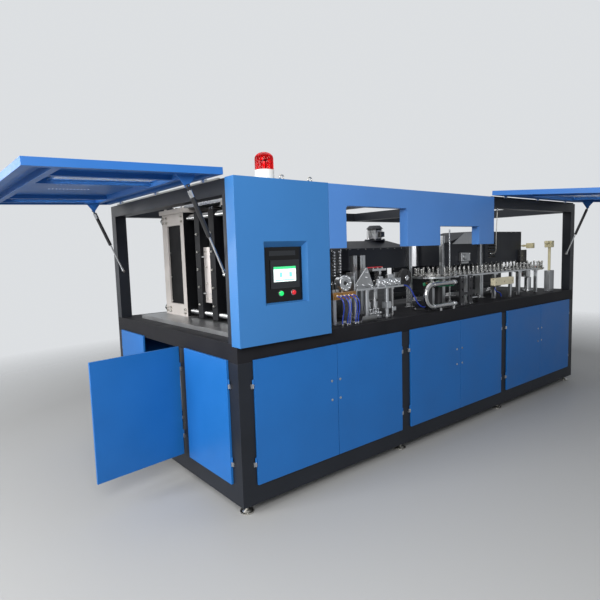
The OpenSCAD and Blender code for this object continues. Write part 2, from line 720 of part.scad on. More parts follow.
// Mould half: half of each bottle cavity, a slot below for the base block, one above for the necks
module mould_half(side) difference() {
    block([clamp_x + 40, min(parting_y + side * body_gap, parting_y + side * mould_t), mould_z0],
          [clamp_x + clamp_w - 40, max(parting_y + side * body_gap, parting_y + side * mould_t), mould_z1]);
    for (x = cavity_x) translate([x, parting_y, 0]) rotate_extrude() bottle_outline();
    block([clamp_mid - base_half - 3, parting_y - base_depth / 2 - 3, mould_z0 - 1],
          [clamp_mid + base_half + 3, parting_y + base_depth / 2 + 3, mould_z0 + 36]);
    block([clamp_mid - base_half - 3, parting_y - neck_half, neck_z],
          [clamp_mid + base_half + 3, parting_y + neck_half, mould_z1 + 1]);
}
module bottle_outline() polygon([[0, mould_z0 + 35], [34, mould_z0 + 35], [38, mould_z0 + 45],
                                 [38, mould_z0 + 290], [16, neck_z], [16, mould_z1 + 1],
                                 [0, mould_z1 + 1]]);
module rear_mould() color(alu) at_datum() mould_half(1);
module front_mould() color(alu) at_datum() mould_half(-1);

// Bridge over the clamp with guide columns and the blow nozzle block
guide_out = cavity_pitch * (cavities / 2 - 1);
guide_x = [clamp_mid - guide_out, clamp_mid + guide_out];
cross_half = 195;
guide_rod_r = 12;
module stretch_bridge() color(steel) at_datum() difference() {
    union() {
        block([clamp_mid - 240, front_frame_y - 120, clamp_top + cap_t],
              [clamp_mid + 240, rear_frame_y + 120, clamp_top + cap_t + 25]);
        block([clamp_mid - cross_half, parting_y - 60, nozzle_z0],
              [clamp_mid + cross_half, parting_y + 60, nozzle_z1]);
        for (x = guide_x) translate([x, parting_y, nozzle_z1 - 1])
            cylinder(h = clamp_top + cap_t - nozzle_z1 + 2, r = guide_rod_r);
    }
    for (x = cavity_x) translate([x, parting_y, nozzle_z0 - 1])
        cylinder(h = nozzle_z1 - nozzle_z0 + 2, r = stretch_r + run_clear);
}

// Crosshead with one stretch rod for each cavity
module stretch_rods() color(steel) at_datum() difference() {
    union() {
        block([clamp_mid - cross_half, parting_y - 33, cross_z],
              [clamp_mid + cross_half, parting_y + 33, cross_z + 25]);
        for (x = cavity_x) translate([x, parting_y, nozzle_z0 + 8])
            cylinder(h = cross_z - nozzle_z0 - 7, r = stretch_r);
    }
    for (x = guide_x) translate([x, parting_y, cross_z - 1]) cylinder(h = 27, r = guide_rod_r + run_clear);
}

// Base lift: plate on a guided rod with the block that closes the cavities from below
lift_r = 25;
lift_plate_z = table_h + 100;
lift_plate_t = 25;
module base_mould() color(steel) at_datum() {
    block([clamp_mid - base_half, parting_y - 60, lift_plate_z],
          [clamp_mid + base_half, parting_y + 60, lift_plate_z + lift_plate_t]);
    block([clamp_mid - base_half, parting_y - base_depth / 2, lift_plate_z + lift_plate_t],
          [clamp_mid + base_half, parting_y + base_depth / 2, mould_z0 + 33]);
    translate([clamp_mid, parting_y, table_h + 5]) cylinder(h = lift_plate_z - table_h - 5, r = lift_r);
}

// Transfer station: plate on four legs, gusset, linear rail and pulley bracket
legs_x = [1290, 1530];
legs_y = [150, 270];
carriage_x = 1525;
pulley_c = [1795, table_h + 299];
module transfer_table() color(alu) at_datum() {
    block([1150, 120, table_plate_z], [1710, 300, table_plate_z + table_plate_t]);
    for (x = legs_x) for (y = legs_y) translate([x, y, table_h]) {
        cylinder(h = table_plate_z - table_h, r = 18);
        cylinder(h = 12, r = 32);
    }
    translate([0, 187, 0]) rotate([90, 0, 0]) linear_extrude(6)
        polygon([[1177, table_plate_z + table_plate_t], [1410, table_plate_z + table_plate_t],
                 [1345, table_plate_z + 170], [1330, table_plate_z + 170]]);
    block([1160, 225, table_plate_z + table_plate_t], [1710, 245, table_plate_z + table_plate_t + 12]);
    block([1690, 200, table_plate_z], [pulley_c[0] + 50, 210, pulley_c[1] + 50]);
    bar_y(pulley_c[0], 150, 205, pulley_c[1], 12);
    bar_x(1710, 1710 + fitting_l, 140, table_plate_z + table_plate_t / 2, fitting_r);
    for (x = [1372, 1450]) translate([x, 210, table_h]) {
        cylinder(h = table_plate_z - table_h, r = 10);
        cylinder(h = 150, r = 22);
    }
    manifold();
}

// Air manifold on two stands beside the transfer plate
manifold_z = table_h + 188;
module manifold() {
    block([892, 100, manifold_z], [1128, 196, manifold_z + 54]);
    for (x = [915, 1075]) block([x, 125, table_h], [x + 30, 165, manifold_z]);
    block([900, 105, table_h], [1120, 185, table_h + 10]);
}

// Carriage riding astride the rail: saddle, upright and a row of gripper fingers
module transfer_carriage() color(alu) at_datum() {
    z0 = table_plate_z + table_plate_t + 12 + seat_gap;
    block([carriage_x - 85, 204, z0], [carriage_x + 85, 266, z0 + 28]);
    for (y = [[210, 225 - seat_gap], [245 + seat_gap, 260]])
        block([carriage_x - 85, y[0], z0 - 9], [carriage_x + 85, y[1], z0]);
    block([carriage_x - 12, 212, z0 + 28], [carriage_x + 12, 262, z0 + 110]);
    block([carriage_x - 85, 218, z0 + 110], [carriage_x + 85, 256, z0 + 128]);
    for (k = [-1.5:1:1.5]) for (s = [-1, 1])
        block([carriage_x + 44 * k + s * 10 - 3, 245, z0 + 114],
              [carriage_x + 44 * k + s * 10 + 3, 320, z0 + 122]);
}

// Toothed belt pulley with flanges
module drive_pulley() color([0.06, 0.06, 0.06]) at_datum() difference() {
    union() {
        bar_y(pulley_c[0], 168, 192, pulley_c[1], pulley_r - 5);
        for (y = [165, 192]) bar_y(pulley_c[0], y, y + 3, pulley_c[1], pulley_r);
        bar_y(pulley_c[0], 158, 197, pulley_c[1], 26);
    }
    bar_y(pulley_c[0], 150, 210, pulley_c[1], 12 + run_clear);
    for (k = [0:4]) translate([pulley_c[0], 150, pulley_c[1]]) rotate([0, 72 * k, 0])
        translate([48, 0, 0]) rotate([-90, 0, 0]) cylinder(h = 60, r = 13);
}

// Nylon star wheel with preform pockets and its shaft
module infeed_wheel() color([0.03, 0.42, 0.25]) at_datum() translate([star_c[0], star_c[1], 0]) {
    difference() {
        translate([0, 0, star_z]) cylinder(h = 25, r = star_r);
        for (k = [0:star_pockets - 1]) rotate([0, 0, k * 360 / star_pockets])
            translate([star_r, 0, star_z - 1]) cylinder(h = 27, r = 17);
    }
    translate([0, 0, table_h + 50]) cylinder(h = star_z - table_h - 49, r = 15);
    translate([0, 0, star_z + 24]) cylinder(h = 14, r = 30);
}

// Stand of the star wheel: base, bearing pedestal, guide plates and a short post
module wheel_stand() color([0.05, 0.05, 0.055]) at_datum() {
    block([1965, 62, table_h], [2685, 235, table_h + 10]);
    difference() {
        union() {
            translate([star_c[0], star_c[1], table_h]) cylinder(h = star_z - table_h - seat_gap, r = 34);
            translate([star_c[0], star_c[1], table_h]) cylinder(h = 30, r = 55);
        }
        translate([star_c[0], star_c[1], table_h + 40]) cylinder(h = 200, r = 15 + run_clear);
    }
    block([1975, 70, table_h], [2030, 110, table_h + 220]);
    bar_x(1975 - fitting_l, 1975, 90, table_h + 40, fitting_r);
    for (x = [2455, 2590]) difference() {
        block([x, 68, table_h], [x + 62, 84, table_h + 280]);
        for (z = [80, 150, 220]) bar_y(x + 31, 60, 90, table_h + z, 14);
    }
    block([2455, 68, table_h + 100], [2652, 80, table_h + 125]);
}

// Polished guide tube: lower leg, half-round bend and upper leg, on two clamps
guide_y = 25;
guide_x0 = 1975;
guide_lower_z = table_h + 45;
module guide_run(r) {
    mid_z = guide_lower_z + guide_bend;
    bar_x(guide_x0, 2310, guide_y, guide_lower_z, r);
    bar_x(guide_x0, 2310, guide_y, guide_lower_z + 2 * guide_bend, r);
    translate([guide_x0, guide_y, mid_z]) rotate([90, 0, 0]) rotate([0, 0, 90])
        rotate_extrude(angle = 180) translate([guide_bend, 0]) circle(r = r);
}
module guide_tube() color(steel) at_datum() {
    difference() {
        guide_run(guide_r);
        translate([1, 0, 0]) guide_run(guide_r - 3);
    }
    for (x = [2060, 2250]) block([x, 10, table_h], [x + 30, 40, guide_lower_z - guide_r + 2]);
}

// Closed oval in plan around the chain's middle line
module oval(r) {
    for (x = chain_cx) translate([x, chain_cy]) circle(r = r);
    translate([chain_x0, chain_cy - r]) square([chain_l, 2 * r]);
}
module oval_ring(r0, r1, z0, z1) translate([0, 0, z0]) linear_extrude(z1 - z0) difference() {
    oval(r1);
    oval(r0);
}

// Rail of the preform chain: two straights on props, two bolted-on turns, the wheels' bearings
prop_x = [2760, 3260, 3760, 4160];
module chain_rail() color(alu) at_datum() {
    for (y = [chain_y, chain_y + 2 * chain_r]) {
        block([chain_x0 + seat_gap, y - rail_half, rail_z - rail_t],
              [chain_cx[1] - seat_gap, y + rail_half, rail_z]);
        for (x = prop_x) {
            block([x - 15, y - 15, table_h], [x + 15, y + 15, rail_z - rail_t]);
            block([x - 40, y - 24, rail_z - rail_t - 12], [x + 40, y + 24, rail_z - rail_t]);
        }
        for (x = chain_cx) block([x - 30, y - 15, rail_z - rail_t - 8 - seat_gap],
                                 [x + 30, y + 15, rail_z - rail_t - seat_gap]);
        for (x = [chain_x0 + 5, chain_cx[1] - 30])
            block([x, y - 15, rail_z - rail_t - 2], [x + 25, y + 15, rail_z - rail_t + 1]);
    }
    for (side = [0, 1]) translate([chain_cx[side], chain_cy, rail_z - rail_t])
        linear_extrude(rail_t) turn_outline(side == 0 ? -1 : 1);
    block([3250, guide_block_y + guide_block_d, guide_block_z + 19],
          [3270, chain_y - 15, guide_block_z + 55]);
    block([3450, guide_block_y + 12, table_h], [3474, guide_block_y + 36, guide_block_z]);
    for (x = chain_cx) translate([x, chain_cy, table_h]) difference() {
        union() {
            cylinder(h = 160, r = 38);
            cylinder(h = 16, r = 62);
        }
        translate([0, 0, -1]) cylinder(h = 170, r = shaft_r + run_clear);
    }
}
module turn_outline(side) difference() {
    circle(r = chain_r + rail_half);
    circle(r = chain_r - rail_half);
    translate([side > 0 ? -2 * chain_r : 0, -2 * chain_r]) square([2 * chain_r, 4 * chain_r]);
}

// Place and heading at length s along the chain
function chain_at(s) =
    s < chain_l ? [chain_x0 + s, chain_y, 0]
    : s < chain_l + PI * chain_r ? chain_turn(chain_cx[1], (s - chain_l) / chain_r * 180 / PI - 90)
    : s < 2 * chain_l + PI * chain_r
        ? [chain_cx[1] - (s - chain_l - PI * chain_r), chain_y + 2 * chain_r, 180]
    : chain_turn(chain_x0, (s - 2 * chain_l - PI * chain_r) / chain_r * 180 / PI + 90);
function chain_turn(x, a) = [x + chain_r * cos(a), chain_cy + chain_r * sin(a), a + 90];

// Preform carriers: a block and a mandrel each, joined by the chain band
module preform_carriers() color(steel) at_datum() {
    oval_ring(chain_r - 4, chain_r + 4, rail_z + 18, rail_z + 24);
    for (k = [0:carriers - 1]) {
        p = chain_at(k * chain_len / carriers);
        translate([p[0], p[1], rail_z]) rotate([0, 0, p[2]]) {
            block([-20, -13, 0], [20, 13, 20]);
            cylinder(h = 55, r = 8);
            translate([0, 0, 55]) cylinder(h = 22, r = 11.5);
        }
    }
}

// Chain wheel: rim, five arm openings and the shaft
module chain_wheel(x) translate([x, chain_cy, 0]) {
    difference() {
        translate([0, 0, rail_z + 4]) cylinder(h = 12, r = wheel_rim);
        for (k = [0:4]) rotate([0, 0, 72 * k]) translate([75, 0, rail_z]) cylinder(h = 20, r = 26);
    }
    translate([0, 0, table_h - 40]) cylinder(h = rail_z + 30 - table_h + 40, r = shaft_r);
}
module chain_wheel_left() color(steel) at_datum() chain_wheel(chain_cx[0]);
module chain_wheel_right() color(steel) at_datum() chain_wheel(chain_cx[1]);

// Oven hoods: thin-walled boxes, open below
hood_z = table_h + hood_up;
hood_left = [1400, 450, 2200, 1000, hood_z + 200];
hood_mid = [2665, 360, 3230, 760, hood_z + 340];
hood_right = [3290, 320, 4050, 760, hood_z + 335];
hip = 150;
hip_h = 65;
module oven_hood_left() color([0.07, 0.08, 0.09]) at_datum() {
    difference() {
        hip_box(0);
        hip_box(hood_t);
    }
    translate([1935, 640, hood_left[4] + hip_h]) {
        cylinder(h = 12, r = 95);
        cylinder(h = 110, r = 62);
        translate([0, 0, 110]) cylinder(h = 30, r1 = 80, r2 = 50);
    }
}
module hip_box(t) {
    block([hood_left[0] + t, hood_left[1] + t, hood_z + 15 - t],
          [hood_left[2] - t, hood_left[3] - t, hood_left[4] - t]);
    hull() {
        block([hood_left[0] + t, hood_left[1] + t, hood_left[4] - t - 1],
              [hood_left[2] - t, hood_left[3] - t, hood_left[4] - t]);
        block([hood_left[0] + hip + t, hood_left[1] + hip + t, hood_left[4] + hip_h - t - 1],
              [hood_left[2] - hip - t, hood_left[3] - hip - t, hood_left[4] + hip_h - t]);
    }
}
module oven_hood_middle() color([0.07, 0.08, 0.09]) at_datum() difference() {
    translate([0, hood_mid[3], 0]) rotate([90, 0, 0]) linear_extrude(hood_mid[3] - hood_mid[1])
        middle_profile(0);
    translate([0, hood_mid[3] - hood_t, 0]) rotate([90, 0, 0])
        linear_extrude(hood_mid[3] - hood_mid[1] - 2 * hood_t) middle_profile(hood_t);
}
module middle_profile(t) polygon([[hood_mid[0] + t, hood_z - t], [hood_mid[2] - t, hood_z - t],
                                  [hood_mid[2] - t, hood_mid[4] - t], [hood_mid[2] - 50, hood_mid[4] - t],
                                  [hood_mid[0] + t, hood_z + 230 - t]]);
module oven_hood_right() color([0.07, 0.08, 0.09]) at_datum() difference() {
    block([hood_right[0], hood_right[1], hood_z], [hood_right[2], hood_right[3], hood_right[4]]);
    block([hood_right[0] + hood_t, hood_right[1] + hood_t, hood_z - 1],
          [hood_right[2] - hood_t, hood_right[3] - hood_t, hood_right[4] - hood_t]);
    for (k = [0:5]) block([hood_right[0] + 60, hood_right[1] - 1, hood_z + 60 + 30 * k],
                          [hood_right[0] + 200, hood_right[1] + 5, hood_z + 72 + 30 * k]);
}

// Slotted aluminium columns that carry the hoods: [x, y, width, depth, top]
columns = [[hood_left[0] + 20, hood_left[1] - 40, 40, 40, hood_z + 140],
           [1500, hood_left[1] - 40, 60, 40, hood_z + 140],
           [hood_left[2] - 50, hood_left[1] - 40, 40, 40, hood_z + 306],
           [hood_left[0] + 20, hood_left[3], 40, 40, hood_z + 140],
           [hood_left[2] - 60, hood_left[3], 40, 40, hood_z + 140],
           [hood_mid[0] - 40, hood_mid[1] + 20, 40, 40, hood_z + 300],
           [hood_mid[0] - 40, hood_mid[3] - 60, 40, 40, hood_z + 300],
           [hood_mid[2], hood_mid[1] - 20, 60, 60, hood_z + 208],
           [hood_mid[2], hood_mid[3] - 60, 60, 60, hood_z + 208],
           [hood_right[2], hood_right[1] + 20, 40, 40, hood_z + 208],
           [hood_right[2], hood_right[3] - 60, 40, 40, hood_z + 208]];
module oven_columns() color(alu) at_datum() {
    for (c = columns) difference() {
        block([c[0], c[1], table_h], [c[0] + c[2], c[1] + c[3], c[4]]);
        block([c[0] + c[2] / 2 - 4, c[1] - 1, table_h + 20], [c[0] + c[2] / 2 + 4, c[1] + 8, c[4] + 1]);
    }
    translate([4342, 130, table_h]) {
        cylinder(h = 546, r = 14);
        block([-52, -30, 0], [58, 30, 239]);
    }
    translate([2653, 320, table_h]) {
        cylinder(h = 715, r = 7);
        cylinder(h = 25, r = 16);
    }
}

// Infrared lamps in their end holders, across the middle and right hoods
lamp_n = 5;
module oven_lamps() color([0.85, 0.83, 0.78]) at_datum() for (h = [hood_mid, hood_right]) {
    x0 = h[0] + hood_t;
    x1 = h[2] - hood_t;
    for (x = [x0, x1 - 8]) block([x, 600, hood_z + 20], [x + 8, 640, hood_z + 30 + lamp_n * 36]);
    for (k = [0:lamp_n - 1]) bar_x(x0 + 8, x1 - 8, 620, hood_z + 50 + 36 * k, 6);
    block([x0 + 8, 636, hood_z + 30], [x1 - 8, 640, hood_z + 30 + lamp_n * 36]);
}

// Nylon guide block under the chain's front run, with counterbored screw holes
guide_block_y = 110;
guide_block_d = 50;
guide_block_z = table_h + 143;
module guide_block() color([0.87, 0.83, 0.70]) at_datum() {
    difference() {
        translate([3130, guide_block_y, guide_block_z]) rotate([90, 0, 90]) linear_extrude(370)
            polygon([[0, 0], [guide_block_d, 0], [guide_block_d, 73], [34, 73], [34, 60], [20, 60],
                     [20, 73], [6, 73], [0, 67]]);
        for (x = [3160, 3315, 3470]) {
            bar_y(x, guide_block_y - 1, guide_block_y + 12, guide_block_z + 30, 11);
            bar_y(x, guide_block_y - 1, guide_block_y + guide_block_d - 5, guide_block_z + 30, 6);
        }
    }
    translate([3165, 135, guide_block_z - fitting_l]) cylinder(h = fitting_l, r = fitting_r);
}

// Air receiver: dished tank on two saddles across the bearers
receiver_y = 1600;
receiver_r = 200;
saddle_y = 150;
bearer_w = 50;
bearer_h = 50;
module air_receiver() color([0.35, 0.37, 0.40]) at_datum() {
    z0 = foot_h + sill_h;
    cz = z0 + 40 + receiver_r;
    translate([350, receiver_y, cz]) rotate([0, 90, 0]) rotate_extrude() intersection() {
        union() {
            square([receiver_r, 900]);
            for (z = [0, 900]) translate([0, z]) scale([1, 0.4]) circle(r = receiver_r);
        }
        translate([0, -200]) square([receiver_r, 1300]);
    }
    for (x = [520, 1030]) difference() {
        block([x, receiver_y - 180, z0], [x + 40, receiver_y + 180, cz - 60]);
        bar_x(x - 1, x + 41, receiver_y, cz, receiver_r);
    }
    translate([800, receiver_y, cz + receiver_r - 5]) cylinder(h = 60, r = 22);
}

// Sweep of a round section along a route; its rings stay square to the path, the end ones to the
// route's first and last legs
function unit(v) = v / norm(v);
function ring_axis(d) = abs(d[2]) > 0.9 ? unit(cross(d, [0, 1, 0])) : unit(cross(d, [0, 0, 1]));
function choose(n, k) = k == 0 ? 1 : choose(n, k - 1) * (n - k + 1) / k;
// Point at share t of the smooth curve that a route's points pull on
function bend(route, t) = let (n = len(route) - 1)
    [for (k = [0:n]) choose(n, k) * pow(t, k) * pow(1 - t, n - k)] * route;
module cord(route, r, rings, sides = 8) {
    last = len(route) - 1;
    path = [for (i = [0:rings]) bend(route, i / rings)];
    points = [for (i = [0:rings])
        let (d = i == 0 ? unit(route[1] - route[0])
                 : i == rings ? unit(route[last] - route[last - 1]) : unit(path[i + 1] - path[i - 1]),
             u = ring_axis(d), v = cross(d, u))
        for (k = [0:sides - 1]) path[i] + r * (cos(360 * k / sides) * u + sin(360 * k / sides) * v)];
    faces = concat([[for (k = [0:sides - 1]) k]],
        [for (i = [0:rings - 1]) for (k = [0:sides - 1])
            [i * sides + k, (i + 1) * sides + k, (i + 1) * sides + (k + 1) % sides,
             i * sides + (k + 1) % sides]],
        [[for (k = [sides - 1:-1:0]) rings * sides + k]]);
    polyhedron(points, faces);
}

// Free hoses and the sensor cable: points that pull on their routes, heights over the table
// The cable's heights are shares of its drop from the top rail to the hood
hose_r = 5;
left_hose = [[1724, 140, 242.5], [1884, 140, 242.5], [1801, 90, 40], [1961, 90, 40]];
right_hose = [[3165, 135, 129], [3165, 135, 51], [3300, 140, 92], [3300, 140, 14]];
cable_top = machine_h - upper_tube;
cable_end = hood_z + 100;
cable_fall = cable_top - cable_end;
sensor_cable = [[3050, 50, cable_top], [3050, 50, cable_top - 0.42 * cable_fall],
                [3100, 120, cable_top - 0.91 * cable_fall], [3390, 200, cable_end],
                [3390, 320, cable_end]];
function over_table(route) = [for (p = route) p + [0, 0, table_h]];
module air_hoses() color([0.05, 0.25, 0.85]) at_datum() {
    cord(over_table(left_hose), hose_r, 44);
    cord(over_table(right_hose), hose_r, 48);
}
module signal_cable() color([0.8, 0.8, 0.78]) at_datum() cord(sensor_cable, 4, 65);

base_frame();
table_frame();
levelling_feet();
bed_plate();
upper_frame();
side_panels();
hinges();
control_cabinet();
hmi_panel();
touch_screen();
start_button();
stop_button();
beacon_base();
beacon_dome();
front_fascia();
front_door_1();
front_door_2();
front_door_3();
front_door_4();
front_door_5();
front_door_6();
end_door_front();
end_door_open();
end_door_rear();
end_flap();
end_flap_panes();
front_flap();
front_flap_panes();
end_strut_tubes();
end_strut_rods();
front_strut_tube();
front_strut_rod();
clamp_frame();
tie_bars();
rear_platen();
rear_mould();
front_platen();
front_mould();
stretch_bridge();
stretch_rods();
base_mould();
transfer_table();
transfer_carriage();
drive_pulley();
infeed_wheel();
wheel_stand();
guide_tube();
chain_rail();
preform_carriers();
chain_wheel_left();
chain_wheel_right();
oven_hood_left();
oven_hood_middle();
oven_hood_right();
oven_columns();
oven_lamps();
guide_block();
air_receiver();
air_hoses();
signal_cable();
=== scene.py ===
import itertools
import math

import bpy
import numpy as np
from mathutils import Matrix


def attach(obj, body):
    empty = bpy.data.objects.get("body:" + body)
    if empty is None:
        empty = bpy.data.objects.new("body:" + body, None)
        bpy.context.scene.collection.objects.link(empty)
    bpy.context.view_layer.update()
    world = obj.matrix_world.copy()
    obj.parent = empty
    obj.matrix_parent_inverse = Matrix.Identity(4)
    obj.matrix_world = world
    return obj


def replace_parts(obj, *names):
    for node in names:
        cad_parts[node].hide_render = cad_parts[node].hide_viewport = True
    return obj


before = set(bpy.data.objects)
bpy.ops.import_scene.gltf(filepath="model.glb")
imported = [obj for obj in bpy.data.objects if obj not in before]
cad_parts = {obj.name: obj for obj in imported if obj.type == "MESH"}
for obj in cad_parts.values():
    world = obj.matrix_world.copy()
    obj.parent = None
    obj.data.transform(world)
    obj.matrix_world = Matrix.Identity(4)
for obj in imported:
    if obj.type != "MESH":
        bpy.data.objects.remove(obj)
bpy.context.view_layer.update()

scene = bpy.context.scene
scene.view_settings.view_transform = "Standard"

# Viewpoint
# The machine is seen from its left front corner, at eye height. Lengths in this file are
# millimetres from the frame's front left corner at the floor; row() turns them into metres from
# the foot that carries the datum.
FOOT_INSET = 60
EYE = (-1555, -2549, 1658)
LOOK_TURN = math.radians(38.89)
LOOK_DOWN = math.radians(5.69)
LOOK_ROLL = math.radians(-1.75)
LENS = 29.845
VIEW_REACH = 100


def row(points):
    """Millimetres from the frame's corner to metres from the datum foot: shift, divide by 1000."""
    return (np.asarray(points, float) - (FOOT_INSET, FOOT_INSET, 0)) / 1000


def view_axes(turn, down, roll):
    """Right, up and backward axes of a camera turned about Z, tipped down, then rolled."""
    ahead = np.array([math.sin(turn) * math.cos(down), math.cos(turn) * math.cos(down),
                      -math.sin(down)])
    right = np.array([math.cos(turn), -math.sin(turn), 0.0])
    up = np.cross(right, ahead)
    return np.stack([math.cos(roll) * right + math.sin(roll) * up,
                     math.cos(roll) * up - math.sin(roll) * right, -ahead], axis=1)


def stand(item, axes, place):
    """Puts a camera or a lamp at a place in millimetres, turned to three axes."""
    pose = np.eye(4)
    pose[:3, :3] = axes
    pose[:3, 3] = row(place)
    item.matrix_world = Matrix(pose.tolist())
    scene.collection.objects.link(item)


camera_data = bpy.data.cameras.new("camera")
camera_data.lens = LENS
camera_data.clip_end = VIEW_REACH
camera = bpy.data.objects.new("camera", camera_data)
stand(camera, view_axes(LOOK_TURN, LOOK_DOWN, LOOK_ROLL), EYE)
scene.camera = camera


# Air hoses and sensor cable
# Two blue polyurethane air hoses, 10 mm outside, and a pale 8 mm sensor cable. Their ends are
# pushed into fittings on the transfer plate, the wheel stand, the guide block, the table, the
# fascia rail and the right oven hood. The routes are those of the part's source. Five more short
# hoses, 8 mm outside, drop from the manifold to the table: x, drift and the belly's y of each.
LEFT_HOSE = [[1724, 140, 1342.5], [1884, 140, 1342.5], [1801, 90, 1140], [1961, 90, 1140]]
RIGHT_HOSE = [[3165, 135, 1229], [3165, 135, 1151], [3300, 140, 1192], [3300, 140, 1114]]
SENSOR_CABLE = [[3050, 50, 2005], [3050, 50, 1818.1], [3100, 120, 1600.05], [3390, 200, 1560],
                [3390, 320, 1560]]
HOSE_DROPS = ((925, 10, 12), (965, 22, 4), (1005, 6, 18), (1045, 26, 8), (1085, 12, 14))
TABLE_TOP = 1100
MOUTH_Z = 1315          # height of the manifold's mouths
TABLE_MOUTH_Y = 52      # distance of the table's mouths from the front
NOISE_RANGE = (0.3, 0.7)
ASKEW = (0.31, 0.83, 0.47)
SHARP_EDGE = math.radians(38)


def colour(screen):
    """Linear colour of an 8-bit screen colour: ((c/255 + 0.055) / 1.055) to the power 2.4."""
    return tuple(((np.array(screen) / 255 + 0.055) / 1.055) ** 2.4) + (1.0,)


def set_inputs(node, values):
    """Plain values for a node's sockets, by their names."""
    for name, value in values.items():
        node.inputs[name].default_value = value


def add_node(nodes, kind, inputs=None, **settings):
    """New shader node of a kind, with its own settings and plain values for its sockets."""
    made = nodes.new("ShaderNode" + kind)
    for name, value in settings.items():
        setattr(made, name, value)
    set_inputs(made, inputs or {})
    return made


def wire(source, output, target, socket):
    """Link between two nodes of one tree, from an output to an input."""
    source.id_data.links.new(source.outputs[output], target.inputs[socket])


def new_finish(slot):
    """New material named for a slot, with its nodes and its shader."""
    made = bpy.data.materials.new(slot)
    made["slot"] = slot
    made.use_nodes = True
    nodes = made.node_tree.nodes
    return made, nodes, nodes["Principled BSDF"]


def surface(slot, tone, rough, metal=0.0, shade=0.08, stretch=(1, 1, 1), patch=3.0, grain=260.0,
            depth=0.00015, edge=0.002, wear_and_highlight=None, coat=0.0, glow=0.0, shine=0.5):
    """Finish of one slot of the record, its tone and edge colour in 8-bit screen colours. Tone and
    roughness drift with a soft noise, 1/patch m wide; a fine noise, 1/grain m wide and depth m
    high, lies on a rounded edge; where an edge colour is given, the rounded edges are lightened to
    it: partly rubbed paint, partly a painted edge highlight. Shine is the strength of the plain
    reflection."""
    tone = colour(tone)
    made, nodes, shader = new_finish(slot)
    set_inputs(shader, {"Metallic": metal, "Specular IOR Level": shine, "Coat Weight": coat,
                        "Coat Roughness": 0.12})
    place = add_node(nodes, "TexCoord")
    spread = add_node(nodes, "Mapping", {"Scale": stretch})
    wire(place, "Object", spread, "Vector")
    soft = add_node(nodes, "TexNoise", {"Scale": patch, "Detail": 6})
    fine = add_node(nodes, "TexNoise", {"Scale": grain, "Detail": 2})
    for noise in (soft, fine):
        wire(spread, "Vector", noise, "Vector")
    tint = add_node(nodes, "ValToRGB")
    for stop, position, share in zip(tint.color_ramp.elements, NOISE_RANGE, (1 - shade, 1 + shade)):
        stop.position = position
        stop.color = tuple(min(c * share, 1.0) for c in tone[:3]) + (1.0,)
    wire(soft, "Fac", tint, "Fac")
    gloss = add_node(nodes, "MapRange", {"From Min": NOISE_RANGE[0], "From Max": NOISE_RANGE[1],
                                         "To Min": max(rough - 0.07, 0.02), "To Max": rough + 0.07})
    wire(soft, "Fac", gloss, "Value")
    wire(gloss, "Result", shader, "Roughness")
    rounded = add_node(nodes, "Bevel", {"Radius": edge}, samples=4)
    bump = add_node(nodes, "Bump", {"Distance": depth})
    wire(fine, "Fac", bump, "Height")
    wire(rounded, "Normal", bump, "Normal")
    wire(bump, "Normal", shader, "Normal")
    # Lighter rounded edges: partly rubbed paint, partly a painted highlight where edges catch the
    # light.
    if wear_and_highlight:
        flat = add_node(nodes, "NewGeometry")
        turn = add_node(nodes, "VectorMath", operation="DOT_PRODUCT")
        wire(rounded, "Normal", turn, 0)
        wire(flat, "Normal", turn, 1)
        rubbed_and_highlit = add_node(nodes, "MapRange", {"From Min": 0.97, "From Max": 0.80, "To Max": 0.55})
        wire(turn, "Value", rubbed_and_highlit, "Value")
        mix = add_node(nodes, "Mix", {"B": colour(wear_and_highlight)}, data_type="RGBA")
        wire(rubbed_and_highlit, "Result", mix, "Factor")
        wire(tint, "Color", mix, "A")
        wire(mix, "Result", shader, "Base Color")
    else:
        wire(tint, "Color", shader, "Base Color")
    if glow:
        set_inputs(shader, {"Emission Color": tone, "Emission Strength": glow})
    return made


def skin(rings):
    """Closed surface through rings[i, j]: quads between neighbours, and a flat face at each end."""
    count, sides = rings.shape[:2]
    i, j = np.meshgrid(np.arange(count - 1), np.arange(sides), indexing="ij")
    near, beside = i * sides + j, i * sides + (j + 1) % sides
    walls = np.stack([near, beside, beside + sides, near + sides], axis=-1).reshape(-1, 4)
    ends = [list(range(sides))[::-1], list(range((count - 1) * sides, count * sides))]
    return rings.reshape(-1, 3), walls.tolist() + ends


def bend(route, steps):
    """Bezier curve of a route's points p0 ... pn: at share t, the sum over k of n-choose-k times
    t to the power k, times 1 - t to the power n - k, times pk."""
    p = np.asarray(route, float)
    k = np.arange(len(p))
    n = len(p) - 1
    t = np.linspace(0, 1, steps + 1)[:, None]
    choices = np.array([math.comb(n, i) for i in k])
    return (choices * t ** k * (1 - t) ** (n - k)) @ p


def crossways(along):
    """Unit vectors square to the given ones, none of which may run along the askew one."""
    across = np.cross(along, ASKEW)
    return across / np.linalg.norm(across, axis=-1, keepdims=True)


def tube(path, radius, sides=14):
    """Round bar along a path: at each point a circle of the radius, square to the path."""
    path = np.asarray(path, float)
    ahead = np.gradient(path, axis=0)
    ahead /= np.linalg.norm(ahead, axis=1)[:, None]
    across = crossways(ahead)
    third = np.cross(ahead, across)
    angle = np.linspace(0, 2 * math.pi, sides, endpoint=False)[None, :, None]
    circle = np.cos(angle) * across[:, None] + np.sin(angle) * third[:, None]
    return skin(path[:, None] + radius * circle)


def piece(name, parts, finish, body="machine"):
    """One object from (points, faces) parts in millimetres, smooth but for its sharp edges."""
    starts = np.cumsum([0] + [len(points) for points, _ in parts])
    faces = [[corner + start for corner in face]
             for start, (_, part_faces) in zip(starts, parts) for face in part_faces]
    mesh = bpy.data.meshes.new(name)
    mesh.from_pydata(row(np.concatenate([points for points, _ in parts])), [], faces)
    mesh.materials.append(finish)
    mesh.shade_smooth()
    mesh.set_sharp_from_angle(angle=SHARP_EDGE)
    made = bpy.data.objects.new(name, mesh)
    scene.collection.objects.link(made)
    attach(made, body)
    return made


